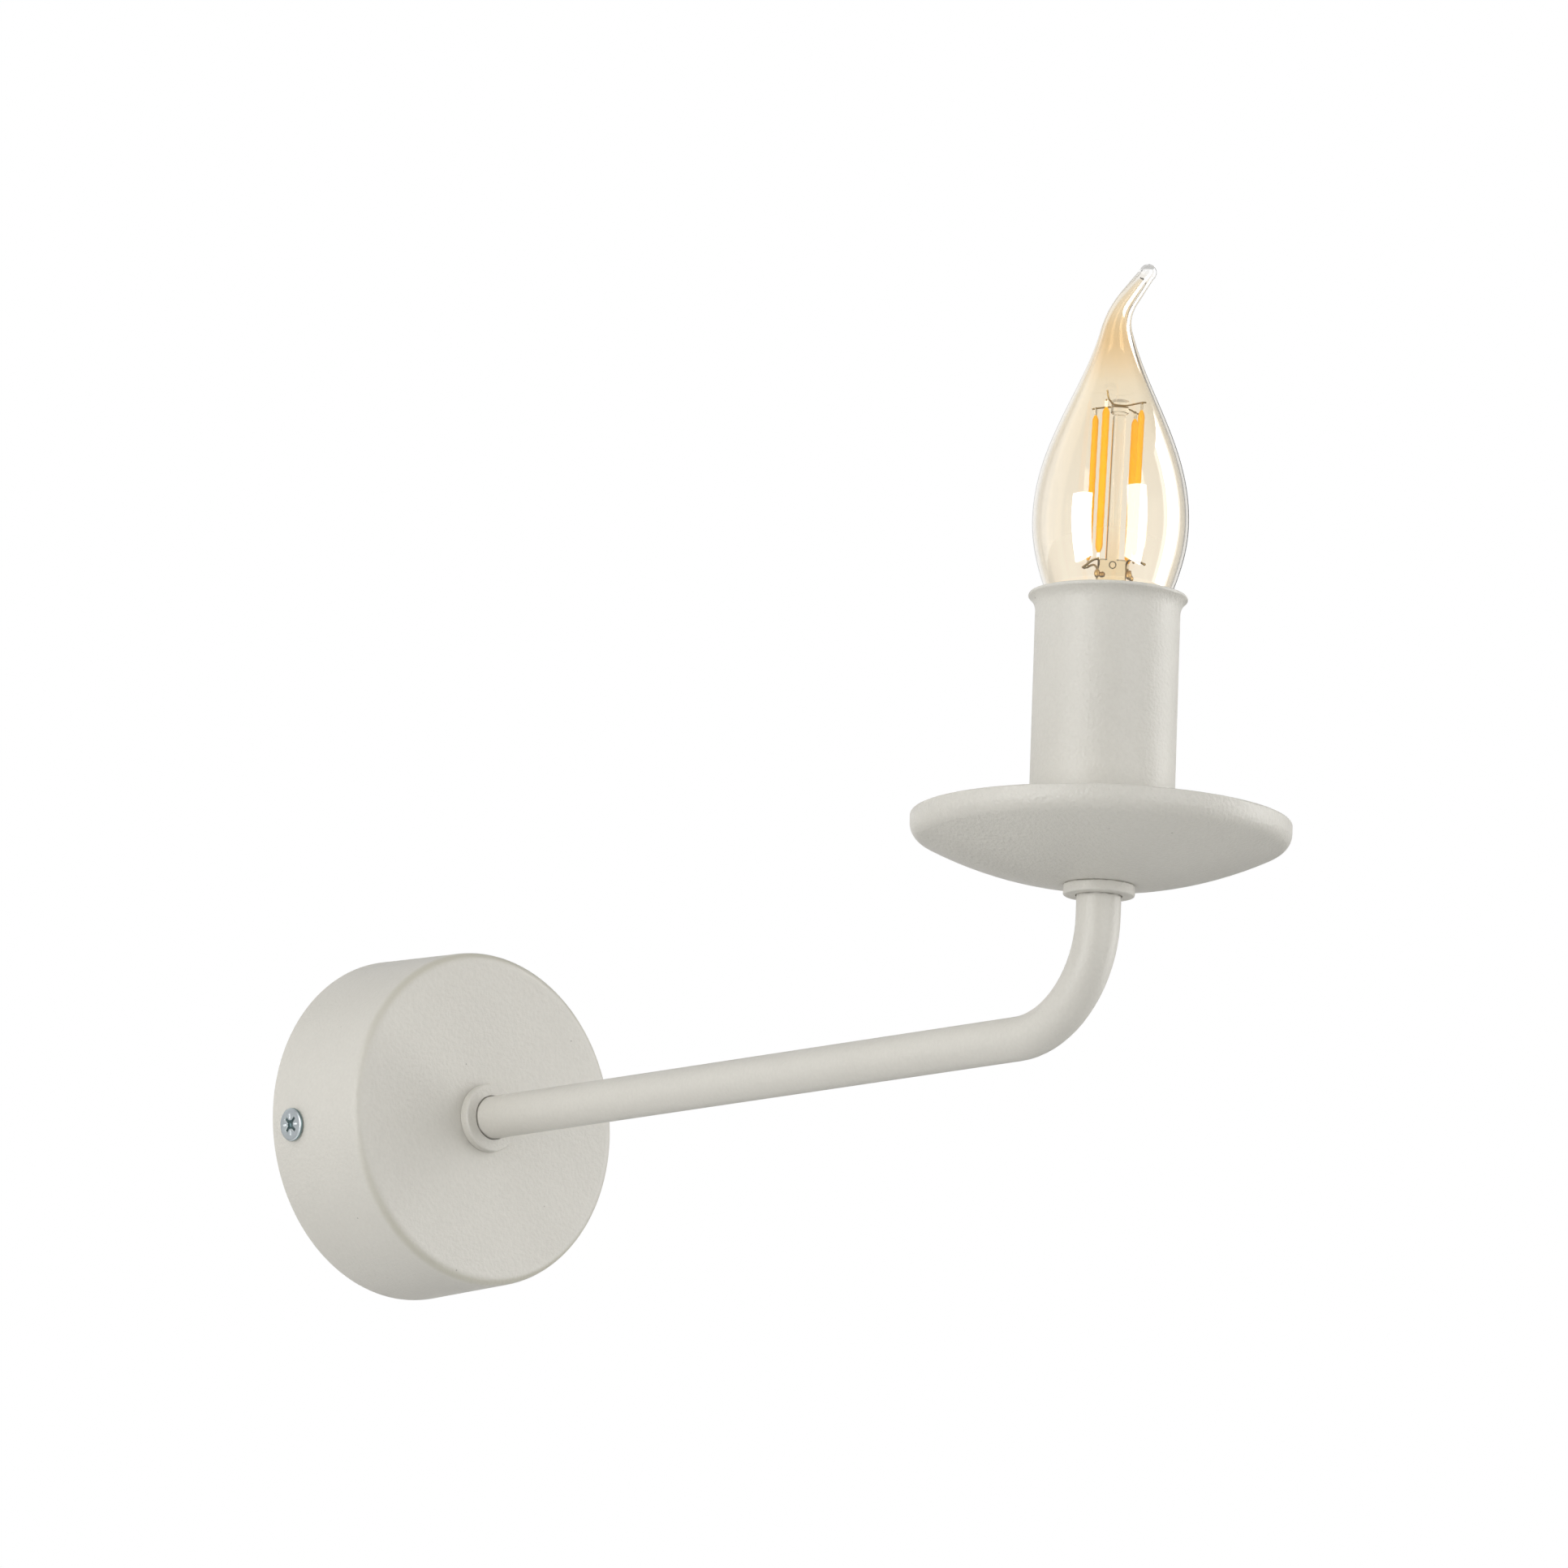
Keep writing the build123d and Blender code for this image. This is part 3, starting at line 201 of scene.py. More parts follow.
# Clear glass of the stem, golden towards its foot
STEM_TINTS = [
    (78.0, (0.93, 0.86, 0.72)),
    (104.0, (0.9, 0.8, 0.6)),
    (109.5, (0.95, 0.84, 0.69)),
    (115.0, (0.97, 0.93, 0.84)),
    (121.0, (0.97, 0.95, 0.9)),
    (145.0, (0.97, 0.96, 0.94)),
]

# Glass: how it and its mirror coat bend light, the mirror's share on the inner side, and a faint ripple
GLASS_BENDING = 1.47
STEM_BENDING = 1.3
MIRROR_BENDING = 2.9
INNER_MIRROR = 0.1
RIPPLE_SCALE = 60.0
RIPPLE_DETAIL = 1.0
RIPPLE_STRENGTH = 0.4
RIPPLE_DEPTH = 4e-5

# Edges sharper than this angle stay sharp in a smooth skin
SHARP_ANGLE = math.radians(38.0)

# Canopy screws, in millimetres: cross recess with four marks between its arms, and a thread
SCREW_FROM_WALL = 7.2
SCREW_LINE_TURN = math.radians(6.5)
SCREW_SEAT = 40.19
HEAD_RADIUS = 3.9
HEAD_HEIGHT = 0.8
HEAD_FLAT = 3.4
HEAD_EDGE = 0.42
HEAD_CHAMFER = 0.08
# Painted shade on the head's side wall, from this far inside its rim
HEAD_SHADE_EDGE = 0.04
RECESS_REACH = 2.3
RECESS_HALF_WIDTH = 0.5
RECESS_CORE = 1.05
RECESS_DEPTH = 0.72
RECESS_RISE = 0.3
RECESS_SLOPE = 0.16
# Painted shade in the recess below this depth
RECESS_SHADE_DEPTH = 0.25
MARK_START = 1.3
MARK_END = 2.6
MARK_HALF_WIDTH = 0.21
MARK_DEPTH = 0.16
MARK_SLOPE = 0.08
SHANK_RADIUS = 2.0
SHANK_LENGTH = 8.0
SHANK_PITCH = 0.7
SHANK_THREAD_DEPTH = 0.38
SHANK_POINT = 0.5
HEAD_FLAT_ROWS = 68
HEAD_ROUND_ROWS = 10
HEAD_SIDES = 240
SHANK_TURN_ROWS = 8
SHANK_SIDES = 32

# Lamp: from here on lengths are in millimetres, and levels are above its foot
ARM_REACH = 240.0
LAMP_FOOT = Vector((0, -ARM_REACH * MM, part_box("lamp_contact")[0].z))

# Lamp cap: thread, outlines by radius and level below and above it, and a rim with punched dents
CAP_PITCH = 2.82
CAP_RADIUS = 6.95
CAP_THREAD_DEPTH = 0.8
CAP_THREAD_START = 4.4
CAP_THREAD_END = 17.0
CAP_THREAD_FADE = 1.4
CAP_PLAIN_SHARE = 0.35
CAP_NOSE = ((4.6, 2.8), (5.4, 3.2), (6.2, 3.8))
CAP_FLARE = ((6.85, 17.7), (7.2, 18.6), (7.75, 20.0), (8.3, 21.3), (8.5, 21.7))
CAP_LIP = ((8.5, 24.92), (8.35, 25.0), (8.18, 24.95))
CAP_INSIDE = ((8.18, 21.6), (6.05, 17.2), (6.0, 4.9), (4.6, 3.2))
CAP_RIM_RADIUS = 8.55
CAP_RIM_START = 21.9
CAP_RIM_STEP = 0.25
PUNCH_COUNT = 8
PUNCH_RADIUS = 0.45
PUNCH_LEVEL = 23.4
PUNCH_DEPTH = 0.22
CAP_THREAD_ROWS = 60
CAP_RIM_ROWS = 12
CAP_SIDES = 72

# Mount, which leans a little to the side that the glass tail bends to
MOUNT_FOOT = 25.0
MOUNT_LEAN = math.radians(1.25)
MOUNT_FACING = math.radians(-41.0)

# Glass: waist, widest place, shoulder and drawn-out tail along its centre line
GLASS_FOOT = 23.0
GLASS_WAIST = 18.2
GLASS_WAIST_RADIUS = 7.4
GLASS_WIDEST = 59.0
GLASS_RADIUS = 17.5
GLASS_SHOULDER = 51.0
GLASS_WALL = 0.8
TAIL_START = 102.1
TAIL_BEND_RADIUS = 14.7
TAIL_BEND = math.radians(34.0)
TAIL_ARC = TAIL_BEND_RADIUS * TAIL_BEND
TAIL_STRAIGHT = 7.4
TAIL_LENGTH = TAIL_ARC + TAIL_STRAIGHT
TAIL_END_RADIUS = 1.85
TAIL_TAPER = 0.065
TAIL_WALL = 1.2
BORE_SHARE = 5 / 6
BEAD_RADIUS = 1.95
BEAD_START = math.radians(105.0)
GLASS_ROWS = 180
BORE_END_ROWS = 9
BEAD_ROWS = 16
GLASS_SIDES = 96

# Filaments, with waves in their width: height, radians a millimetre and shift from one to the next
FILAMENT_RADIUS = 6.3
FILAMENT_ANGLES = (54.0, 146.5, 240.0, 318.5)
FILAMENT_HALF_WIDTH = 0.85
FILAMENT_HALF_DEPTH = 0.65
FILAMENT_TIP = 1.5
FILAMENT_TIP_SHARE = 0.4
FILAMENT_TOP = 83.8
FILAMENT_FOOT = 50.8
FILAMENT_WAVES = ((0.025, 1.9, 1), (0.02, 5.3, 2))
FILAMENT_ROWS = 66
FILAMENT_SIDES = 20

# Flat tails of the filaments: half width by the share of the way from a filament's end to its wire
STRIP_TAIL_OUTLINE = ((-0.4, 0.2), (0.0, 0.3), (0.35, 0.42), (1.0, 0.42))
STRIP_TAIL_HALF_DEPTH = 0.09
STRIP_TAIL_DROP = 1.6

# Wires that carry the filaments, with their welds, and sheaths on the press
WIRE_LEVEL = 85.4
WIRE_RADIUS = 0.19
WIRE_SIDES = 8
LEAD_LEVEL = FILAMENT_FOOT - 1.5
LEAD_RADIUS = 0.25
LEAD_SIDES = 10
PRESS_TOP = 45.6
TOP_WELD_RADII = (0.26, 0.22, 0.26)
FOOT_WELD_LEVEL = FILAMENT_FOOT - 1.45
FOOT_WELD_RADII = (0.34, 0.3, 0.42)
END_KNOB_PLACE = (7.15, -4.0, LEAD_LEVEL - 0.32)
END_KNOB_RADII = (0.3, 0.3, 0.3)
SHEATHS = (
    ((-3.1, -1.35, 46.9), (0.75, 0.5, 1.0)),
    ((-2.0, -1.5, 46.6), (0.65, 0.4, 0.7)),
    ((3.9, -1.1, 46.9), (0.7, 0.5, 1.05)),
    ((4.5, -0.6, 46.3), (0.55, 0.4, 0.7)),
)

# Rim of the pump tube's end in the press, a dark ring of painted shade for the dark look of its clear glass
# edge
EXHAUST_RIGHT = 0.2
EXHAUST_AWAY = -1.5
EXHAUST_LEVEL = 48.95
EXHAUST_HALF_WIDTH = 0.72
EXHAUST_HALF_HEIGHT = 0.8
EXHAUST_RIM_RADIUS = 0.13
EXHAUST_ROWS = 24
EXHAUST_SIDES = 8


def camera_axes():
    """Right, up and backward directions of the camera."""
    back = Vector((
        math.sin(CAMERA_YAW) * math.cos(CAMERA_PITCH),
        -math.cos(CAMERA_YAW) * math.cos(CAMERA_PITCH),
        math.sin(CAMERA_PITCH),
    ))
    level_right = Vector((math.cos(CAMERA_YAW), math.sin(CAMERA_YAW), 0))
    level_up = back.cross(level_right)
    right = level_right * math.cos(CAMERA_ROLL) + level_up * math.sin(CAMERA_ROLL)
    up = level_up * math.cos(CAMERA_ROLL) - level_right * math.sin(CAMERA_ROLL)
    return right, up, back


def level_direction(turn, rise=0.0):
    """Direction from the lamp by its turn from the camera's side and its rise, in degrees."""
    around = CAMERA_YAW + math.radians(turn)
    tilt = math.radians(rise)
    return Vector((
        math.sin(around) * math.cos(tilt), -math.cos(around) * math.cos(tilt), math.sin(tilt)
    ))


def make_camera():
    """Camera at the photograph's place, angle and framing."""
    data = bpy.data.cameras.new("photo_camera")
    data.sensor_width = CAMERA_SENSOR
    data.lens = CAMERA_LENS
    data.clip_start = CAMERA_NEAR
    data.clip_end = CAMERA_FAR
    camera = bpy.data.objects.new("photo_camera", data)
    bpy.context.scene.collection.objects.link(camera)
    right, up, back = camera_axes()
    turn = Matrix((right, up, back)).transposed().to_4x4()
    camera.matrix_world = Matrix.Translation(CAMERA_PLACE) @ turn
    bpy.context.scene.camera = camera


class Tree:
    """A material's or world's node tree, with short ways to add and link nodes."""

    def __init__(self, owner):
        owner.use_nodes = True
        self.tree = owner.node_tree
        self.tree.nodes.clear()

    def add(self, kind, **settings):
        node = self.tree.nodes.new("ShaderNode" + kind)
        for name, value in settings.items():
            setattr(node, name, value)
        return node

    def set(self, node, **values):
        for name, value in values.items():
            node.inputs[name.replace("_", " ")].default_value = value
        return node

    def link(self, start, end):
        self.tree.links.new(start, end)

    def feed(self, value, socket):
        """Link an output to a socket, or set a constant on it."""
        if isinstance(value, bpy.types.NodeSocket):
            self.link(value, socket)
        elif isinstance(value, tuple) and len(value) == 3 and socket.type == "RGBA":
            socket.default_value = (*value, 1)
        else:
            socket.default_value = value

    def place(self):
        return self.add("TexCoord").outputs["Object"]

    def noise(self, scale, detail=2.0, roughness=0.5):
        node = self.set(self.add("TexNoise"), Scale=scale, Detail=detail, Roughness=roughness)
        self.link(self.place(), node.inputs["Vector"])
        return node.outputs["Fac"]

    def cells(self, scale):
        node = self.set(self.add("TexVoronoi"), Scale=scale)
        self.link(self.place(), node.inputs["Vector"])
        return node

    def math(self, operation, first, second=0.0):
        node = self.add("Math", operation=operation)
        self.feed(first, node.inputs[0])
        self.feed(second, node.inputs[1])
        return node.outputs[0]

    def remap(self, value, start, end, low, high):
        node = self.set(self.add("MapRange"), From_Min=start, From_Max=end, To_Min=low, To_Max=high)
        self.link(value, node.inputs["Value"])
        return node.outputs["Result"]

    def dot(self, vector, direction):
        node = self.add("VectorMath", operation="DOT_PRODUCT")
        self.link(vector, node.inputs[0])
        node.inputs[1].default_value = tuple(direction)
        return node.outputs["Value"]

    def scale(self, vector, factor):
        node = self.add("VectorMath", operation="SCALE")
        self.link(vector, node.inputs[0])
        self.link(factor, node.inputs["Scale"])
        return node.outputs["Vector"]

    def choose(self, share, first, second):
        node = self.add("Mix", data_type="FLOAT")
        self.feed(share, node.inputs[0])
        self.feed(first, node.inputs[2])
        self.feed(second, node.inputs[3])
        return node.outputs[0]

    def mix(self, share, first, second):
        node = self.add("Mix", data_type="RGBA")
        self.feed(share, node.inputs[0])
        self.feed(first, node.inputs[6])
        self.feed(second, node.inputs[7])
        return node.outputs[2]

    def ramp(self, value, stops):
        node = self.add("ValToRGB")
        elements = node.color_ramp.elements
        while len(elements) < len(stops):
            elements.new(0.5)
        for element, (position, colour) in zip(elements, stops):
            element.position = position
            element.color = (*colour, 1)
        self.link(value, node.inputs["Fac"])
        return node.outputs["Color"]

    def bump(self, height, strength, distance):
        node = self.set(self.add("Bump"), Strength=strength, Distance=distance)
        self.link(height, node.inputs["Height"])
        return node.outputs[0]

    def output(self, surface, kind="OutputMaterial"):
        self.link(surface, self.add(kind).inputs["Surface"])


def make_world():
    """White to the eye, shaded by direction in gloss and glass, and a plain soft fill on the object."""
    world = bpy.data.worlds.new("studio")
    bpy.context.scene.world = world
    tree = Tree(world)
    path = tree.add("LightPath")
    direction = tree.add("TexCoord").outputs["Generated"]
    side = tree.dot(direction, level_direction(90.0))
    azimuth = tree.math("ARCTAN2", side, tree.dot(direction, level_direction(180.0)))
    around = tree.remap(azimuth, -math.pi, math.pi, 0.0, 1.0)
    level = FILL_LEVEL
    for stops, ray in ((GLOSS_AROUND, "Is Glossy Ray"), (THROUGH_AROUND, "Is Transmission Ray")):
        shade = tree.ramp(around, [((turn + 180) / 360, (part,) * 3) for turn, part in stops])
        level = tree.choose(path.outputs[ray], level, tree.math("MULTIPLY", shade, SURROUND_LEVEL))
    level = tree.choose(path.outputs["Is Camera Ray"], level, 1.0)
    light = tree.set(tree.add("Background"), Color=(1, 1, 1, 1))
    tree.link(level, light.inputs["Strength"])
    tree.output(light.outputs[0], "OutputWorld")


def make_softboxes():
    """Large soft lamps round the object, placed by their turn from the camera's side."""
    middle = (cad_box[0] + cad_box[1]) / 2
    for name, box in SOFTBOXES.items():
        data = bpy.data.lights.new(name + "_softbox", "AREA")
        data.shape = "RECTANGLE"
        data.size = box["wide"]
        data.size_y = box["high"]
        data.energy = box["radiance"] * math.pi * box["wide"] * box["high"]
        lamp = bpy.data.objects.new(name + "_softbox", data)
        bpy.context.scene.collection.objects.link(lamp)
        out = level_direction(box["turn"], box["rise"])
        lamp.location = middle + out * box["away"]
        lamp.rotation_mode = "QUATERNION"
        lamp.rotation_quaternion = (-out).to_track_quat("-Z", "Y")
        lamp.visible_camera = False
        lamp.visible_glossy = box["gloss"]
        lamp.visible_transmission = box["gloss"] and name not in OUTER_GLOSS


def make_floor():
    """Plain pale floor."""
    half = FLOOR_SIZE / 2
    mesh = bpy.data.meshes.new("floor")
    corners = [(-half, -half, 0), (half, -half, 0), (half, half, 0), (-half, half, 0)]
    mesh.from_pydata(corners, [], [(0, 1, 2, 3)])
    floor = bpy.data.objects.new("floor", mesh)
    floor.location = (0, 0, FLOOR_HEIGHT)
    bpy.context.scene.collection.objects.link(floor)
    mesh.materials.append(floor_paint())


def floor_paint():
    """Pale floor, nearly white to the eye and through glass like the backdrop, with soft shadows on it."""
    material = bpy.data.materials.new("floor_paint")
    tree = Tree(material)
    tone = tree.mix(tree.noise(FLOOR_PATCH_SCALE), *FLOOR_TONES)
    paint = tree.set(tree.add("BsdfDiffuse"), Roughness=FLOOR_ROUGHNESS)
    tree.link(tone, paint.inputs["Color"])
    backdrop = tree.set(tree.add("Emission"), Strength=FLOOR_LEVEL)
    tree.link(tone, backdrop.inputs["Color"])
    path = tree.add("LightPath")
    seen = tree.math("MAXIMUM", path.outputs["Is Camera Ray"], path.outputs["Is Transmission Ray"])
    shown = tree.add("MixShader")
    tree.link(tree.math("MULTIPLY", seen, FLOOR_SHARE), shown.inputs[0])
    tree.link(paint.outputs[0], shown.inputs[1])
    tree.link(backdrop.outputs[0], shown.inputs[2])
    tree.output(shown.outputs[0])
    return material


def finish(
    name, colour, roughness, metallic=0.0, mottle=0.05, mottle_scale=90.0, uneven=0.06,
    grain_scale=2600.0, grain_depth=8e-6, grain_tone=0.0, recolour=None, painted_glow=0.0,
):
    """Finish with a mottled colour, an uneven gloss and a fine grain, and a painted glow in its own colour
    where asked.
    """
    material = bpy.data.materials.new(name)
    tree = Tree(material)
    lighter = tuple(min(channel * (1 + mottle), 1.0) for channel in colour)
    darker = tuple(channel * (1 - mottle) for channel in colour)
    tone = tree.mix(tree.noise(mottle_scale, MOTTLE_DETAIL, MOTTLE_ROUGHNESS), darker, lighter)
    grain = tree.noise(grain_scale, GRAIN_DETAIL)
    tone = tree.scale(tone, tree.remap(grain, *GRAIN_SPAN, 1 - grain_tone, 1 + grain_tone))
    if recolour:
        tone = recolour(tree, tone)
    patches = tree.noise(mottle_scale * GLOSS_FINER)
    gloss = tree.remap(patches, *GLOSS_SPAN, roughness - uneven, roughness + uneven)
    shader = tree.set(tree.add("BsdfPrincipled"), Metallic=metallic, Emission_Strength=painted_glow)
    tree.link(tone, shader.inputs["Base Color"])
    tree.link(tone, shader.inputs["Emission Color"])
    tree.link(gloss, shader.inputs["Roughness"])
    tree.link(tree.bump(grain, 1.0, grain_depth), shader.inputs["Normal"])
    tree.output(shader.outputs[0])
    return material


def coat_specks(tree, tone):
    """Sparse fine specks in the paint."""
    speck = tree.math("LESS_THAN", tree.cells(SPECK_SCALE).outputs["Distance"], SPECK_REACH)
    return tree.mix(tree.math("MULTIPLY", speck, SPECK_SHARE), tone, SPECK_COLOUR)


def canopy_edge_shade(tree, tone):
    """Specks, and painted shade round the canopy's front edge, most at its top and bottom."""
    facing = tree.dot(tree.add("NewGeometry").outputs["Normal"], (0, -1, 0))
    band = tree.ramp(facing, [(square, (share,) * 3) for square, share in EDGE_SHADE_BAND])
    height = tree.math("ABSOLUTE", tree.dot(tree.place(), (0, 0, 1)))
    share = tree.math("MULTIPLY", band, tree.remap(height, *EDGE_SHADE_GROWTH, EDGE_SHADE_MIDDLE_SHARE, 1.0))
    return tree.mix(share, coat_specks(tree, tone), EDGE_SHADE_COLOUR)


def seam_shade_lines(*planes):
    """Specks, and painted shade: a dark broken line along each plane where two painted pieces meet."""
    def recolour(tree, tone):
        tone = coat_specks(tree, tone)
        broken_shade = tree.remap(tree.noise(SEAM_SHADE_BREAK_SCALE), *SEAM_SHADE_BREAK_SPAN, SEAM_SHADE_BREAK_SHARE, 1.0)
        for direction, level in planes:
            off = tree.math("SUBTRACT", tree.dot(tree.place(), direction), level)
            line = tree.remap(
                tree.math("ABSOLUTE", off), SEAM_SHADE_WIDTH * SEAM_SHADE_CORE, SEAM_SHADE_WIDTH, SEAM_SHADE_SHARE, 0.0
            )
            # Painted shade along the meeting line, in the specks' dark colour
            tone = tree.mix(tree.math("MULTIPLY", line, broken_shade), tone, SPECK_COLOUR)
        return tone

    return recolour


def zinc_spangle(tree, tone):
    """Small crystals in the zinc."""
    shade = tree.add("SeparateColor")
    tree.link(tree.cells(SPANGLE_SCALE).outputs["Color"], shade.inputs[0])
    return tree.mix(tree.math("MULTIPLY", shade.outputs[0], SPANGLE_SHARE), tone, SPANGLE_COLOUR)


def earth_stripe(tree, tone):
    """Green wire with a yellow stripe along one side."""
    side = tree.dot(tree.add("TexCoord").outputs["Normal"], STRIPE_SIDE)
    return tree.mix(tree.math("GREATER_THAN", side, STRIPE_EDGE), tone, STRIPE_COLOUR)


def glass(name, stops, mirror, bending=GLASS_BENDING):
    """Tinted clear glass with a bright surface, that lets light through to what stands inside."""
    material = bpy.data.materials.new(name)
    tree = Tree(material)
    parts = tree.add("SeparateXYZ")
    tree.link(tree.place(), parts.inputs[0])
    low = stops[0][0]
    high = stops[-1][0]
    rise = tree.remap(parts.outputs["Z"], low * MM, high * MM, 0.0, 1.0)
    tint = tree.ramp(rise, [((height - low) / (high - low), colour) for height, colour in stops])
    shader = tree.set(tree.add("BsdfPrincipled"), Roughness=0.0, IOR=bending, Transmission_Weight=1.0)
    tree.link(tint, shader.inputs["Base Color"])
    if mirror:
        front = tree.math("SUBTRACT", 1.0, tree.add("NewGeometry").outputs["Backfacing"])
        tree.link(tree.math("MULTIPLY", front, mirror), shader.inputs["Coat Weight"])
        tree.set(shader, Coat_Roughness=0.0, Coat_IOR=MIRROR_BENDING)
    ripple = tree.bump(tree.noise(RIPPLE_SCALE, RIPPLE_DETAIL), RIPPLE_STRENGTH, RIPPLE_DEPTH)
    tree.link(ripple, shader.inputs["Normal"])
    through = tree.add("BsdfTransparent")
    tree.link(tint, through.inputs["Color"])
    shadow = tree.add("MixShader")
    tree.link(tree.add("LightPath").outputs["Is Shadow Ray"], shadow.inputs[0])
    tree.link(shader.outputs[0], shadow.inputs[1])
    tree.link(through.outputs[0], shadow.inputs[2])
    tree.output(shadow.outputs[0])
    return material


def coat(name, recolour, peel, roughness=COAT_ROUGHNESS):
    """Pale powder coat with an orange peel of the given depth in metres."""
    return finish(
        name, COAT_COLOUR, roughness, mottle=COAT_MOTTLE, mottle_scale=COAT_MOTTLE_SCALE,
        uneven=COAT_UNEVEN, grain_scale=COAT_GRAIN_SCALE, grain_depth=peel, grain_tone=COAT_GRAIN_TONE,
        recolour=recolour,
    )


# Finishes by the record's slots
finishes = {
    "powder_coat": coat("powder_coat_finish", coat_specks, COAT_PEEL),
    "zinc_steel": finish(
        "zinc_finish", (0.87, 0.94, 0.99), 0.34, 0.8, uneven=0.1, recolour=zinc_spangle
    ),
    "brass": finish("brass_finish", (0.74, 0.55, 0.25), 0.3, 1.0, mottle=0.12, uneven=0.1),
    "tinned_metal": finish("tinned_finish", (0.68, 0.67, 0.64), 0.36, 1.0, uneven=0.1),
    "white_plastic": finish("white_plastic_finish", (0.78, 0.77, 0.73), 0.42, grain_scale=900.0),
    "black_plastic": finish("black_plastic_finish", (0.025, 0.025, 0.027), 0.45, grain_scale=900.0),
    "holder_plastic": finish("holder_plastic_finish", (0.03, 0.03, 0.032), 0.4, grain_scale=700.0),
    "brown_wire": finish("brown_wire_finish", (0.13, 0.05, 0.022), 0.38, grain_scale=700.0),
    "blue_wire": finish("blue_wire_finish", (0.02, 0.12, 0.42), 0.38, grain_scale=700.0),
    "green_yellow_wire": finish(
        "earth_wire_finish", (0.03, 0.3, 0.06), 0.38, grain_scale=700.0, recolour=earth_stripe
    ),
    "amber_glass": glass("amber_glass_finish", GLASS_TINTS, 1.0),
    "clear_glass": glass("clear_glass_finish", STEM_TINTS, 0.0, STEM_BENDING),
    # Painted light: the filaments glow a little in their own colour, though the lamp is off
    "filament_coating": finish(
        "filament_finish", (1.0, 0.5, 0.005), 0.7, mottle=0.05, mottle_scale=900.0, grain_scale=6000.0,
        painted_glow=0.3,
    ),
    "nickel": finish("nickel_finish", (0.62, 0.58, 0.52), 0.28, 1.0, mottle=0.1),
    "black_insulator": finish("insulator_finish", (0.02, 0.02, 0.021), 0.25, grain_scale=900.0),
    "circuit_board": finish("board_finish", (0.03, 0.2, 0.07), 0.4, grain_scale=1500.0),
}

# Planes where painted pieces meet, which get lines of painted shade, and painted nodes with a finish of
# their own
wall_seam = ((0, 1, 0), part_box("wall_collar")[0].y)
tube_seam = ((0, 0, 1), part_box("dish_collar")[0].z)
dish_seam = ((0, 0, 1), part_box("dish_collar")[1].z)
own_finishes = {
    "canopy": coat("canopy_coat_finish", canopy_edge_shade, COAT_PEEL_FINE),
    "arm_tube": coat("tube_coat_finish", seam_shade_lines(wall_seam, tube_seam), COAT_PEEL_FINE),
    "dish_collar": coat("collar_coat_finish", seam_shade_lines(dish_seam), COAT_PEEL),
    "drip_dish": coat("dish_coat_finish", coat_specks, COAT_PEEL_COARSE, DISH_COAT_ROUGHNESS),
}

# Finishes of the fine pieces
weld_finish = finish("weld_finish", (0.42, 0.29, 0.1), 0.4, 1.0, mottle=0.25, mottle_scale=900.0)
wire_finish = finish("support_wire_finish", (0.37, 0.28, 0.14), 0.4, 1.0, mottle=0.25, mottle_scale=500.0)
sheath_finish = finish("sheath_finish", (0.6, 0.43, 0.2), 0.38, 1.0, mottle=0.2, mottle_scale=700.0)
inner_glass_finish = glass("amber_glass_inner_finish", GLASS_TINTS, INNER_MIRROR)
# Painted shade in the screws' recesses and on their heads' side walls
recess_shade_finish = finish("recess_shade_finish", (0.22, 0.3, 0.31), 0.34, 0.9, mottle=0.15, mottle_scale=900.0)
# Painted highlight: the marks between the recess arms drawn pale and bright
mark_highlight_finish = finish("screw_mark_finish", (0.92, 0.96, 0.97), 0.5, mottle=0.04, mottle_scale=900.0)
# Painted shade: the pump tube's clear glass rim drawn dark
rim_shade_finish = finish("exhaust_rim_finish", (0.2, 0.19, 0.13), 0.25)
tail_finish = finish("filament_tail_finish", (0.78, 0.76, 0.7), 0.35, 1.0, mottle=0.08)


def turns_round(count):
    """Evenly spaced turns round a circle."""
    return [2 * math.pi * step / count for step in range(count)]


def skin(rings):
    """Closed skin through rings of points that each have the same count."""
    count = len(rings[0])
    points = [point for ring in rings for point in ring]
    faces = []
    for row in range(len(rings) - 1):
        for step in range(count):
            after = (step + 1) % count
            low = row * count
            high = low + count
            faces.append((low + step, low + after, high + after, high + step))
    faces.append(tuple(reversed(range(count))))
    faces.append(tuple(range(len(points) - count, len(points))))
    return points, faces


def joined(shapes):
    """Several shapes as one list of points and faces."""
    points = []
    faces = []
    for shape_points, shape_faces in shapes:
        start = len(points)
        points += shape_points
        faces += [tuple(start + corner for corner in face) for face in shape_faces]
    return points, faces


def piece(name, shape, material, body, replaced=()):
    """Object made of a shape, with its finish, that rides on a body."""
    mesh = bpy.data.meshes.new(name)
    mesh.from_pydata([tuple(point) for point in shape[0]], [], shape[1])
    work = bmesh.new()
    work.from_mesh(mesh)
    bmesh.ops.recalc_face_normals(work, faces=work.faces)
    work.to_mesh(mesh)
    work.free()
    mesh.polygons.foreach_set("use_smooth", [True] * len(mesh.polygons))
    mesh.set_sharp_from_angle(angle=SHARP_ANGLE)
    mesh.materials.append(material)
    made = bpy.data.objects.new(name, mesh)
    bpy.context.scene.collection.objects.link(made)
    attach(made, body)
    if replaced:
        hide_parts(*replaced)
    return made


def smooth_path(points, steps=6):
    """Points on a smooth curve through the given ones."""
    ends = [points[0] * 2 - points[1]] + list(points) + [points[-1] * 2 - points[-2]]
    path = []
    for start in range(len(points) - 1):
        a, b, c, d = ends[start:start + 4]
        for step in range(steps):
            t = step / steps
            path.append(
                (b * 2 + (c - a) * t + (a * 2 - b * 5 + c * 4 - d) * t**2
                 + (b * 3 - a - c * 3 + d) * t**3) / 2
            )
    return path + [points[-1]]


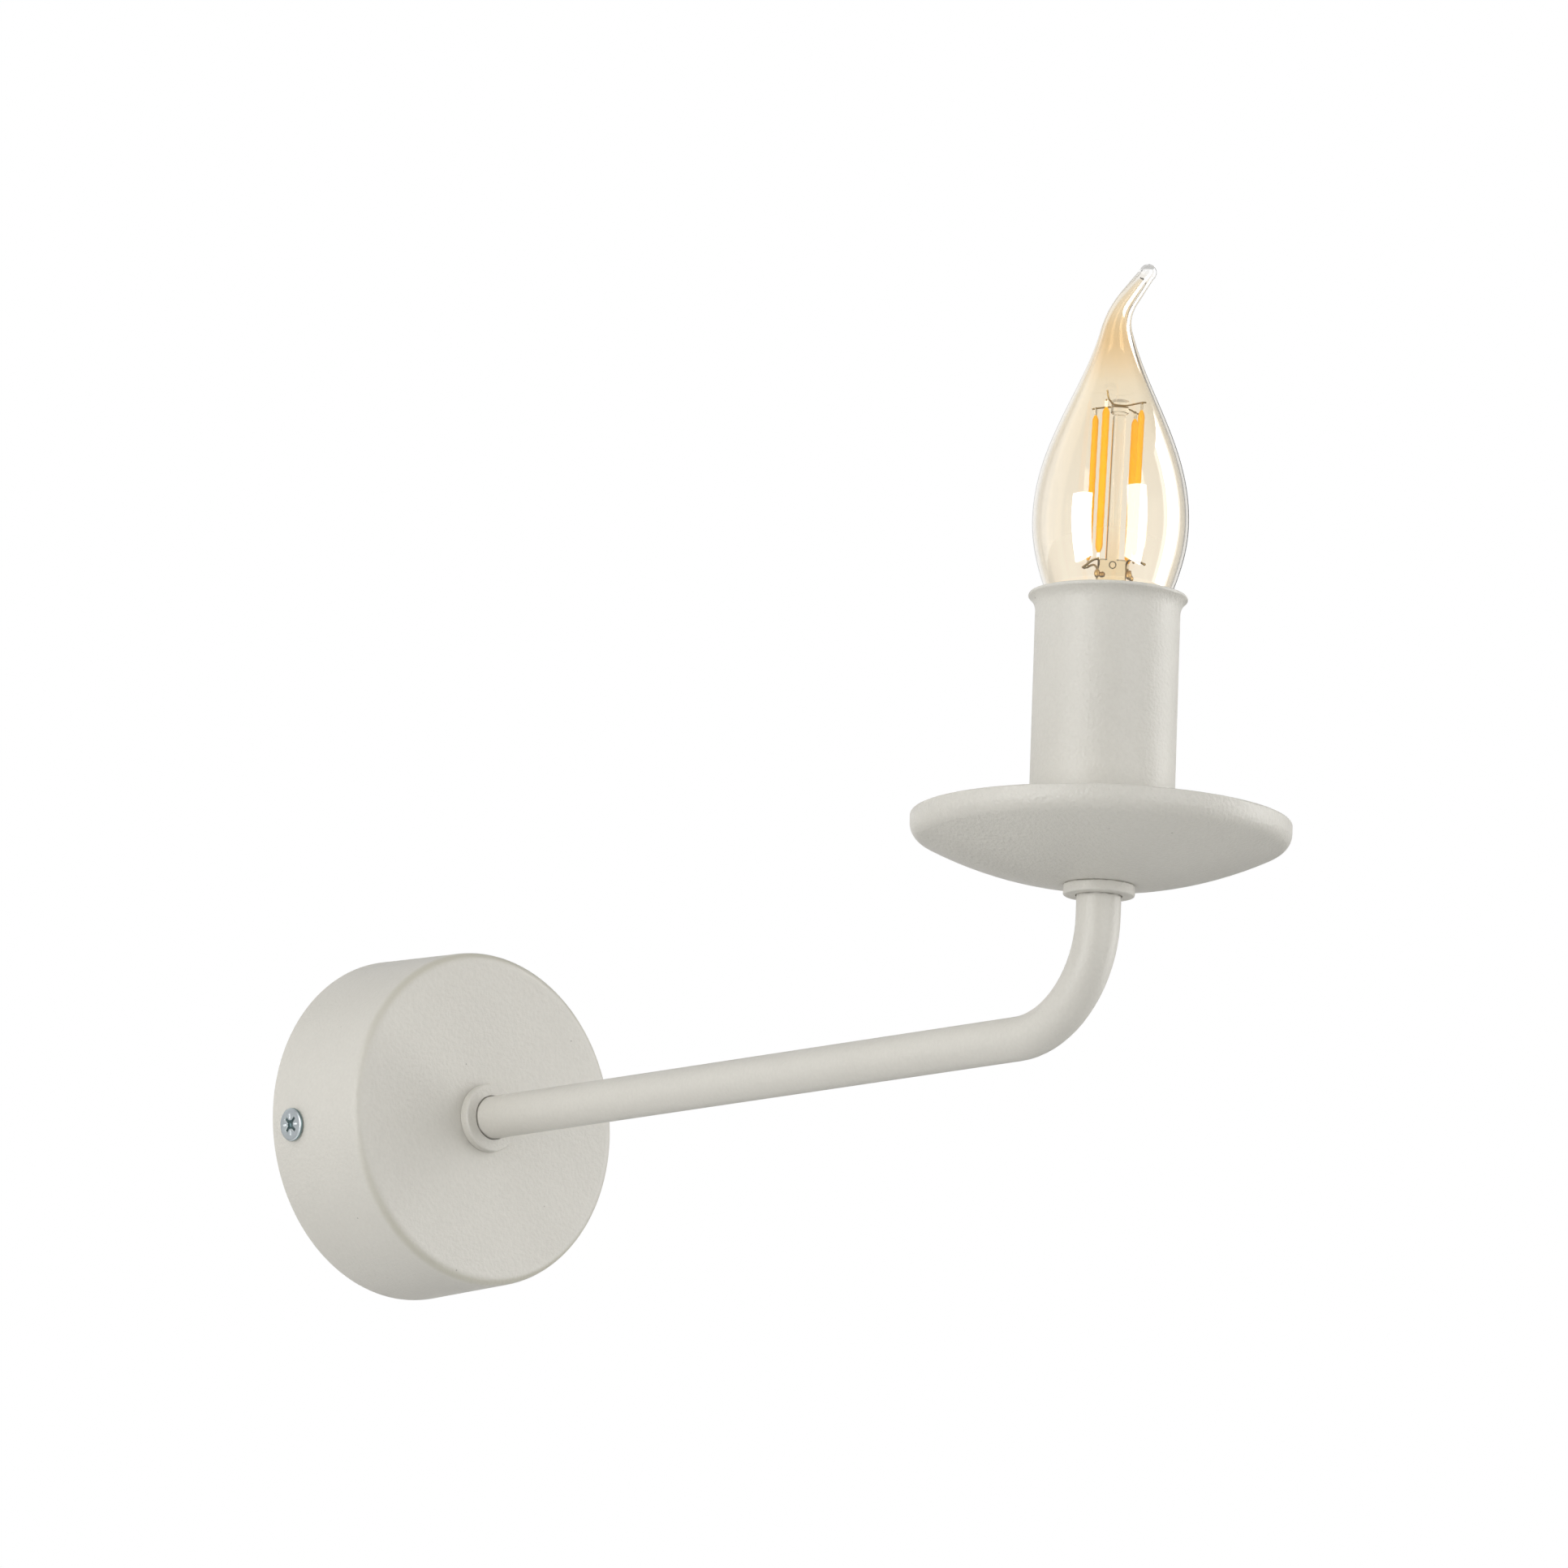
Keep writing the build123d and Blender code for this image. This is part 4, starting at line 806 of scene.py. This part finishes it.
def tube(path, radius, sides):
    """Round bar along a path."""
    rings = []
    side = None
    for index, point in enumerate(path):
        before = path[max(index - 1, 0)]
        after = path[min(index + 1, len(path) - 1)]
        along = (after - before).normalized()
        if side is None:
            side = along.orthogonal()
        side = (side - along * side.dot(along)).normalized()
        other = along.cross(side)
        rings.append([
            point + (side * math.cos(turn) + other * math.sin(turn)) * radius
            for turn in turns_round(sides)
        ])
    return skin(rings)


def blob(middle, radii, axes, rows=7, sides=12):
    """Small rounded lump."""
    rings = []
    for row in range(rows):
        tilt = math.pi * (row + 0.5) / rows
        rings.append([
            middle
            + axes[0] * radii[0] * math.sin(tilt) * math.cos(turn)
            + axes[1] * radii[1] * math.sin(tilt) * math.sin(turn)
            + axes[2] * radii[2] * math.cos(tilt)
            for turn in turns_round(sides)
        ])
    return skin(rings)


def ease(share):
    """Smooth step from 0 to 1."""
    share = min(max(share, 0.0), 1.0)
    return share * share * (3 - 2 * share)


def head_level(radius, turn):
    """Height of the screw head's top above its seat, with the cross recess and its marks."""
    level = HEAD_HEIGHT
    if radius > HEAD_FLAT:
        run = HEAD_RADIUS - HEAD_FLAT
        drop = HEAD_HEIGHT - HEAD_EDGE
        arc = (run**2 + drop**2) / (2 * drop)
        level = HEAD_HEIGHT - arc + math.sqrt(max(arc**2 - (radius - HEAD_FLAT) ** 2, 0.0))
    along = abs(radius * math.cos(turn + math.pi / 4))
    across = abs(radius * math.sin(turn + math.pi / 4))
    arm = max(min(along, across) - RECESS_HALF_WIDTH, max(along, across) - RECESS_REACH)
    between = (along + across) / math.sqrt(2)
    beside = abs(along - across) / math.sqrt(2)
    inside = ease(-min(arm, between - RECESS_CORE) / RECESS_SLOPE)
    level -= inside * RECESS_DEPTH * (1 - RECESS_RISE * min(radius / RECESS_REACH, 1.0))
    mark = max(beside - MARK_HALF_WIDTH, MARK_START - between, between - MARK_END)
    level -= (1 - inside) * ease(-mark / MARK_SLOPE) * MARK_DEPTH
    return level


def shank_radius(level, turn):
    """Outer radius of the screw's thread, which ends in a short point."""
    phase = (level / SHANK_PITCH + turn / (2 * math.pi)) % 1.0
    depth = SHANK_THREAD_DEPTH * (1 - abs(2 * phase - 1))
    from_end = max(SHANK_LENGTH + level, 0.0)
    return SHANK_RADIUS - max(depth, SHANK_POINT - from_end)


def screw_shapes(seat, out, side):
    """Head and threaded shank of one screw."""
    up = out.cross(side)

    def ring(points):
        return [
            seat + (side * math.cos(turn) + up * math.sin(turn)) * radius * MM + out * level * MM
            for turn, radius, level in points
        ]

    head_turns = turns_round(HEAD_SIDES)
    radii = [HEAD_FLAT * (row + 1) / HEAD_FLAT_ROWS for row in range(HEAD_FLAT_ROWS)]
    radii += [
        HEAD_FLAT + (HEAD_RADIUS - HEAD_FLAT) * (row + 1) / HEAD_ROUND_ROWS
        for row in range(HEAD_ROUND_ROWS)
    ]
    head = [ring([(turn, radius, head_level(radius, turn)) for turn in head_turns]) for radius in radii]
    underside = ((HEAD_RADIUS, HEAD_CHAMFER), (HEAD_RADIUS - HEAD_CHAMFER, 0.0), (SHANK_RADIUS / 2, 0.0))
    head += [ring([(turn, radius, level) for turn in head_turns]) for radius, level in underside]

    shank_rows = int(SHANK_LENGTH / SHANK_PITCH * SHANK_TURN_ROWS)
    levels = [-SHANK_LENGTH * row / shank_rows for row in range(shank_rows + 1)]
    shank = [
        ring([(turn, shank_radius(level, turn), level) for turn in turns_round(SHANK_SIDES)])
        for level in levels
    ]
    return [skin(head), skin(shank)]


def make_canopy_screws():
    """Zinc pan head screws in the canopy's side."""
    line = Vector((math.cos(SCREW_LINE_TURN), 0, math.sin(SCREW_LINE_TURN)))
    middle = Vector((0, -SCREW_FROM_WALL * MM, 0))
    shapes = []
    for out in (line, -line):
        shapes += screw_shapes(middle + out * SCREW_SEAT * MM, out, Vector((0, -1, 0)))
    screws = piece(
        "canopy_screws_threaded", joined(shapes), finishes["zinc_steel"], "fixture",
        ["canopy_screws"],
    )
    screws.data.materials.append(recess_shade_finish)
    screws.data.materials.append(mark_highlight_finish)
    for face in screws.data.polygons:
        place = (face.center - middle) / MM
        level = abs(place.dot(line)) - SCREW_SEAT
        radius = (place - line * place.dot(line)).length
        drop = HEAD_HEIGHT - level
        # Painted shade on the head's side wall and deep in the recess
        on_shaded_edge = level > 0 and radius > HEAD_RADIUS - HEAD_SHADE_EDGE
        in_shaded_recess = radius < RECESS_REACH and RECESS_SHADE_DEPTH < drop < HEAD_HEIGHT
        if on_shaded_edge or in_shaded_recess:
            face.material_index = 1
        # Painted highlight on the marks between the recess arms
        elif MARK_START < radius < MARK_END and MARK_DEPTH / 2 < drop < RECESS_SHADE_DEPTH:
            face.material_index = 2


def cap_radius(level, turn):
    """Outer radius of the lamp cap's thread."""
    fade = min(
        ease((level - CAP_THREAD_START) / CAP_THREAD_FADE), ease((CAP_THREAD_END - level) / CAP_THREAD_FADE)
    )
    wave = (1 - math.cos(2 * math.pi * level / CAP_PITCH - turn)) / 2
    return CAP_RADIUS - CAP_THREAD_DEPTH * (wave * fade + CAP_PLAIN_SHARE * (1 - fade))


def rim_radius(level, turn):
    """Outer radius of the lamp cap's rim, with its punched dents."""
    nearest = (turn * PUNCH_COUNT / (2 * math.pi) + 0.5) % 1.0 - 0.5
    across = nearest * 2 * math.pi / PUNCH_COUNT * CAP_RIM_RADIUS
    dent = math.exp(-(across / PUNCH_RADIUS) ** 2 - ((level - PUNCH_LEVEL) / PUNCH_RADIUS) ** 2)
    return CAP_RIM_RADIUS - PUNCH_DEPTH * dent


def make_lamp_cap():
    """Rolled screw shell, flared to a punched rim round the glass."""
    around = turns_round(CAP_SIDES)

    def ring(level, radii):
        up = Vector((0, 0, level * MM))
        return [
            LAMP_FOOT + Vector((math.cos(turn), math.sin(turn), 0)) * radius * MM + up
            for turn, radius in zip(around, radii)
        ]

    def plain(outline):
        return [ring(level, [radius] * CAP_SIDES) for radius, level in outline]

    rings = plain(CAP_NOSE)
    for row in range(CAP_THREAD_ROWS + 1):
        level = CAP_THREAD_START + (CAP_THREAD_END - CAP_THREAD_START) * row / CAP_THREAD_ROWS
        rings.append(ring(level, [cap_radius(level, turn) for turn in around]))
    rings += plain(CAP_FLARE)
    for row in range(CAP_RIM_ROWS):
        level = CAP_RIM_START + CAP_RIM_STEP * row
        rings.append(ring(level, [rim_radius(level, turn) for turn in around]))
    rings += plain(CAP_LIP + CAP_INSIDE)
    piece("lamp_cap_threaded", skin(rings), finishes["nickel"], "lamp", ["lamp_cap"])


tail_direction = Vector((math.cos(MOUNT_FACING), math.sin(MOUNT_FACING), 0))
tail_side = Vector((math.sin(MOUNT_FACING), -math.cos(MOUNT_FACING), 0))
mount_axis = tail_direction * math.sin(MOUNT_LEAN) + Vector((0, 0, math.cos(MOUNT_LEAN)))
mount_right = tail_direction * math.cos(MOUNT_LEAN) - Vector((0, 0, math.sin(MOUNT_LEAN)))
mount_away = mount_axis.cross(mount_right)
mount_axes = (mount_right, mount_away, mount_axis)


def mount_point(right, away, level):
    """Point by its place on the leaning mount."""
    foot = LAMP_FOOT + Vector((0, 0, MOUNT_FOOT * MM))
    return foot + (mount_right * right + mount_away * away + mount_axis * (level - MOUNT_FOOT)) * MM


def glass_radius(distance):
    """Outer radius of the glass at a distance from the lamp's foot along its centre line."""
    if distance < GLASS_WIDEST:
        end_radius = GLASS_WAIST_RADIUS
        share = (GLASS_WIDEST - distance) / (GLASS_WIDEST - GLASS_WAIST)
    else:
        end_radius = TAIL_END_RADIUS + TAIL_TAPER * (TAIL_START + TAIL_LENGTH - distance)
        share = min((distance - GLASS_WIDEST) / GLASS_SHOULDER, 1.0)
    return end_radius + (GLASS_RADIUS - end_radius) * (1 + math.cos(math.pi * share)) / 2


def glass_bore(distance):
    """Inner radius of the glass, whose wall thickens along the tail."""
    tail_share = max(distance - TAIL_START, 0.0) / TAIL_LENGTH
    return glass_radius(distance) - GLASS_WALL - (TAIL_WALL - GLASS_WALL) * tail_share


def glass_ring(distance, radius):
    """Ring across the glass's centre line, which stands upright and bends in the tail."""
    bent = max(distance - TAIL_START, 0.0)
    turn = min(bent, TAIL_ARC) / TAIL_BEND_RADIUS
    past = max(bent - TAIL_ARC, 0.0)
    across = TAIL_BEND_RADIUS * (1 - math.cos(turn)) + past * math.sin(turn)
    up = min(distance, TAIL_START) + TAIL_BEND_RADIUS * math.sin(turn) + past * math.cos(turn)
    right = tail_direction * math.cos(turn) - Vector((0, 0, math.sin(turn)))
    middle = tail_direction * across + Vector((0, 0, up))
    return [
        LAMP_FOOT + (middle + (right * math.cos(around) + tail_side * math.sin(around)) * radius) * MM
        for around in turns_round(GLASS_SIDES)
    ]


def make_glass():
    """Flame shape drawn out into a bent tail with a bead, hollow and open at its neck."""
    end = TAIL_START + TAIL_LENGTH
    bore_end = TAIL_START + TAIL_LENGTH * BORE_SHARE
    bore_end_radius = glass_bore(bore_end)
    outer_end = end + BEAD_RADIUS * math.cos(BEAD_START)
    inner = []
    for row in range(BORE_END_ROWS - 1, 0, -1):
        tilt = math.pi / 2 * row / BORE_END_ROWS
        inner.append(glass_ring(
            bore_end + bore_end_radius * math.sin(tilt), bore_end_radius * math.cos(tilt)
        ))
    for row in range(GLASS_ROWS, -1, -1):
        distance = GLASS_FOOT + (bore_end - GLASS_FOOT) * row / GLASS_ROWS
        inner.append(glass_ring(distance, glass_bore(distance)))
    outer = []
    for row in range(GLASS_ROWS):
        distance = GLASS_FOOT + (outer_end - GLASS_FOOT) * row / GLASS_ROWS
        outer.append(glass_ring(distance, glass_radius(distance)))
    for row in range(BEAD_ROWS):
        tilt = BEAD_START * (1 - row / BEAD_ROWS)
        outer.append(glass_ring(end + BEAD_RADIUS * math.cos(tilt), BEAD_RADIUS * math.sin(tilt)))
    drawn = piece(
        "lamp_glass_drawn", skin(inner + outer), finishes["amber_glass"], "lamp",
        ["lamp_glass"],
    )
    drawn.data.materials.append(inner_glass_finish)
    inner_faces = (len(inner) - 1) * len(inner[0])
    for face in drawn.data.polygons[:inner_faces]:
        face.material_index = 1


filament_places = [
    (FILAMENT_RADIUS * math.cos(math.radians(turn)), FILAMENT_RADIUS * math.sin(math.radians(turn)))
    for turn in FILAMENT_ANGLES
]
back_right, back_left, front_left, front_right = filament_places


def filament_sides(right, away):
    """Directions out from the mount's axis and across, at a filament's place."""
    out = (mount_right * right + mount_away * away).normalized()
    return out, mount_axis.cross(out)


def make_filaments():
    """Coated strips with drawn-in tips, a little uneven, round the stem."""
    shapes = []
    for index, (right, away) in enumerate(filament_places):
        out, across = filament_sides(right, away)
        rings = []
        for row in range(FILAMENT_ROWS + 1):
            level = FILAMENT_FOOT + (FILAMENT_TOP - FILAMENT_FOOT) * row / FILAMENT_ROWS
            from_end = min(level - FILAMENT_FOOT, FILAMENT_TOP - level)
            tip = math.sin(math.pi / 2 * min(from_end / FILAMENT_TIP, 1.0))
            uneven = 1.0
            for height, rate, shift in FILAMENT_WAVES:
                uneven += height * math.sin(level * rate + shift * index)
            swell = (FILAMENT_TIP_SHARE + (1 - FILAMENT_TIP_SHARE) * tip) * uneven
            middle = mount_point(right, away, level)
            rings.append([
                middle
                + across * FILAMENT_HALF_WIDTH * swell * math.cos(turn) * MM
                + out * FILAMENT_HALF_DEPTH * swell * math.sin(turn) * MM
                for turn in turns_round(FILAMENT_SIDES)
            ])
        shapes.append(skin(rings))
    piece(
        "filament_strips", joined(shapes), finishes["filament_coating"], "lamp",
        ["lamp_filaments"],
    )


def mount_lump(place, radii):
    """Small rounded lump at a place on the mount."""
    return blob(mount_point(*place), [radius * MM for radius in radii], mount_axes)


def mount_wire(route, radius, sides):
    """Wire along a smooth route through places on the mount."""
    return tube(smooth_path([mount_point(*place) for place in route]), radius * MM, sides)


def make_exhaust_rim():
    """Rim of the pump tube's end, on the press: a dark ring, painted shade for its clear glass edge."""
    path = []
    for row in range(EXHAUST_ROWS + 1):
        turn = 2 * math.pi * row / EXHAUST_ROWS
        right = EXHAUST_RIGHT + EXHAUST_HALF_WIDTH * math.cos(turn)
        level = EXHAUST_LEVEL + EXHAUST_HALF_HEIGHT * math.sin(turn)
        path.append(mount_point(right, EXHAUST_AWAY, level))
    rim = tube(path, EXHAUST_RIM_RADIUS * MM, EXHAUST_SIDES)
    piece("exhaust_rim", rim, rim_shade_finish, "lamp")


def make_lead_sheaths():
    """Sheaths round the lead-in wires, where they leave the press."""
    shapes = [mount_lump(place, radii) for place, radii in SHEATHS]
    piece("lead_sheaths", joined(shapes), sheath_finish, "lamp")


def support_routes():
    """Routes of the two wires that hold the filaments' upper ends, past the front and the back."""
    front = [
        (front_left[0] + 0.05, front_left[1] + 0.1, WIRE_LEVEL + 2.3),
        (front_left[0] + 0.35, front_left[1] + 0.2, WIRE_LEVEL + 0.75),
        (front_left[0] + 0.9, front_left[1] + 0.7, WIRE_LEVEL - 0.05),
        (-1.3, -2.25, WIRE_LEVEL - 0.2),
        (1.3, -2.2, WIRE_LEVEL - 0.25),
        (3.4, -3.1, WIRE_LEVEL + 0.05),
        (front_right[0] + 0.1, front_right[1], WIRE_LEVEL + 0.2),
        (front_right[0] + 0.85, front_right[1] - 0.2, WIRE_LEVEL + 0.15),
    ]
    back = [
        (back_left[0] - 0.9, back_left[1] - 0.1, WIRE_LEVEL - 0.25),
        (back_left[0] + 0.1, back_left[1] - 0.1, WIRE_LEVEL),
        (-1.6, 2.25, WIRE_LEVEL + 0.25),
        (1.6, 2.25, WIRE_LEVEL + 0.1),
        (back_right[0], back_right[1] - 0.1, WIRE_LEVEL - 0.1),
        (back_right[0] + 0.8, back_right[1] + 0.2, WIRE_LEVEL - 0.3),
    ]
    return front, back


def lead_routes():
    """Routes of the four lead-in wires, from the press past the filaments' lower ends."""
    to_front_left = [
        (-3.05, -0.6, PRESS_TOP),
        (-2.9, -0.9, 48.4),
        (-2.95, -3.0, 49.2),
        (front_left[0], front_left[1], LEAD_LEVEL),
        (-4.4, -5.4, LEAD_LEVEL - 0.35),
        (-6.6, -5.0, LEAD_LEVEL - 2.1),
    ]
    to_front_right = [
        (3.1, -0.6, PRESS_TOP),
        (3.15, -0.8, 47.6),
        (3.3, -1.5, LEAD_LEVEL + 0.2),
        (3.9, -2.9, LEAD_LEVEL + 0.75),
        (front_right[0], front_right[1], LEAD_LEVEL + 0.45),
        (5.9, -4.2, LEAD_LEVEL + 0.2),
        (7.1, -4.0, LEAD_LEVEL - 0.3),
    ]
    to_back_left = [
        (-3.05, 0.6, PRESS_TOP),
        (-3.1, 0.9, 48.2),
        (-3.9, 2.0, LEAD_LEVEL + 0.2),
        (back_left[0], back_left[1], LEAD_LEVEL),
        (back_left[0] - 0.9, back_left[1] + 0.3, LEAD_LEVEL - 0.3),
    ]
    to_back_right = [
        (3.05, 0.6, PRESS_TOP),
        (3.0, 1.0, 48.2),
        (3.2, 2.9, LEAD_LEVEL + 0.2),
        (back_right[0], back_right[1], LEAD_LEVEL),
        (back_right[0] + 0.9, back_right[1] + 0.3, LEAD_LEVEL - 0.2),
    ]
    return to_front_left, to_front_right, to_back_left, to_back_right


def make_support_wires():
    """Wires that hold the filaments at both ends."""
    shapes = [mount_wire(route, WIRE_RADIUS, WIRE_SIDES) for route in support_routes()]
    shapes += [mount_wire(route, LEAD_RADIUS, LEAD_SIDES) for route in lead_routes()]
    piece("support_wires", joined(shapes), wire_finish, "lamp", ["lamp_leads"])


def make_filament_tails():
    """Flat metal tails at both ends of each filament."""
    shapes = []
    for right, away in filament_places:
        out, across = filament_sides(right, away)
        for end, level in ((FILAMENT_TOP, WIRE_LEVEL), (FILAMENT_FOOT, FILAMENT_FOOT - STRIP_TAIL_DROP)):
            rings = []
            for share, half_width in STRIP_TAIL_OUTLINE:
                middle = mount_point(right, away, end + (level - end) * share)
                rings.append([
                    middle + across * half_width * a * MM + out * STRIP_TAIL_HALF_DEPTH * b * MM
                    for a, b in ((-1, -1), (1, -1), (1, 1), (-1, 1))
                ])
            shapes.append(skin(rings))
    piece("filament_tails", joined(shapes), tail_finish, "lamp")


def make_lead_welds():
    """Welds between the filaments' tails and the wires, and a knob on one wire's end."""
    shapes = []
    for right, away in filament_places:
        shapes.append(mount_lump((right, away, FOOT_WELD_LEVEL), FOOT_WELD_RADII))
        shapes.append(mount_lump((right, away, WIRE_LEVEL), TOP_WELD_RADII))
    shapes.append(mount_lump(END_KNOB_PLACE, END_KNOB_RADII))
    piece("lead_welds", joined(shapes), weld_finish, "lamp")


def dress_solids():
    """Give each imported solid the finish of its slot."""
    for part in frame["record"]["subparts"]:
        materials = nodes[part["node"]].data.materials
        materials.clear()
        materials.append(own_finishes.get(part["node"], finishes[part["material_slot"]]))


dress_solids()
make_canopy_screws()
make_lamp_cap()
make_glass()
make_filaments()
make_exhaust_rim()
make_lead_sheaths()
make_support_wires()
make_filament_tails()
make_lead_welds()
make_camera()
make_world()
make_softboxes()
make_floor()
bpy.context.scene.view_settings.view_transform = "Standard"
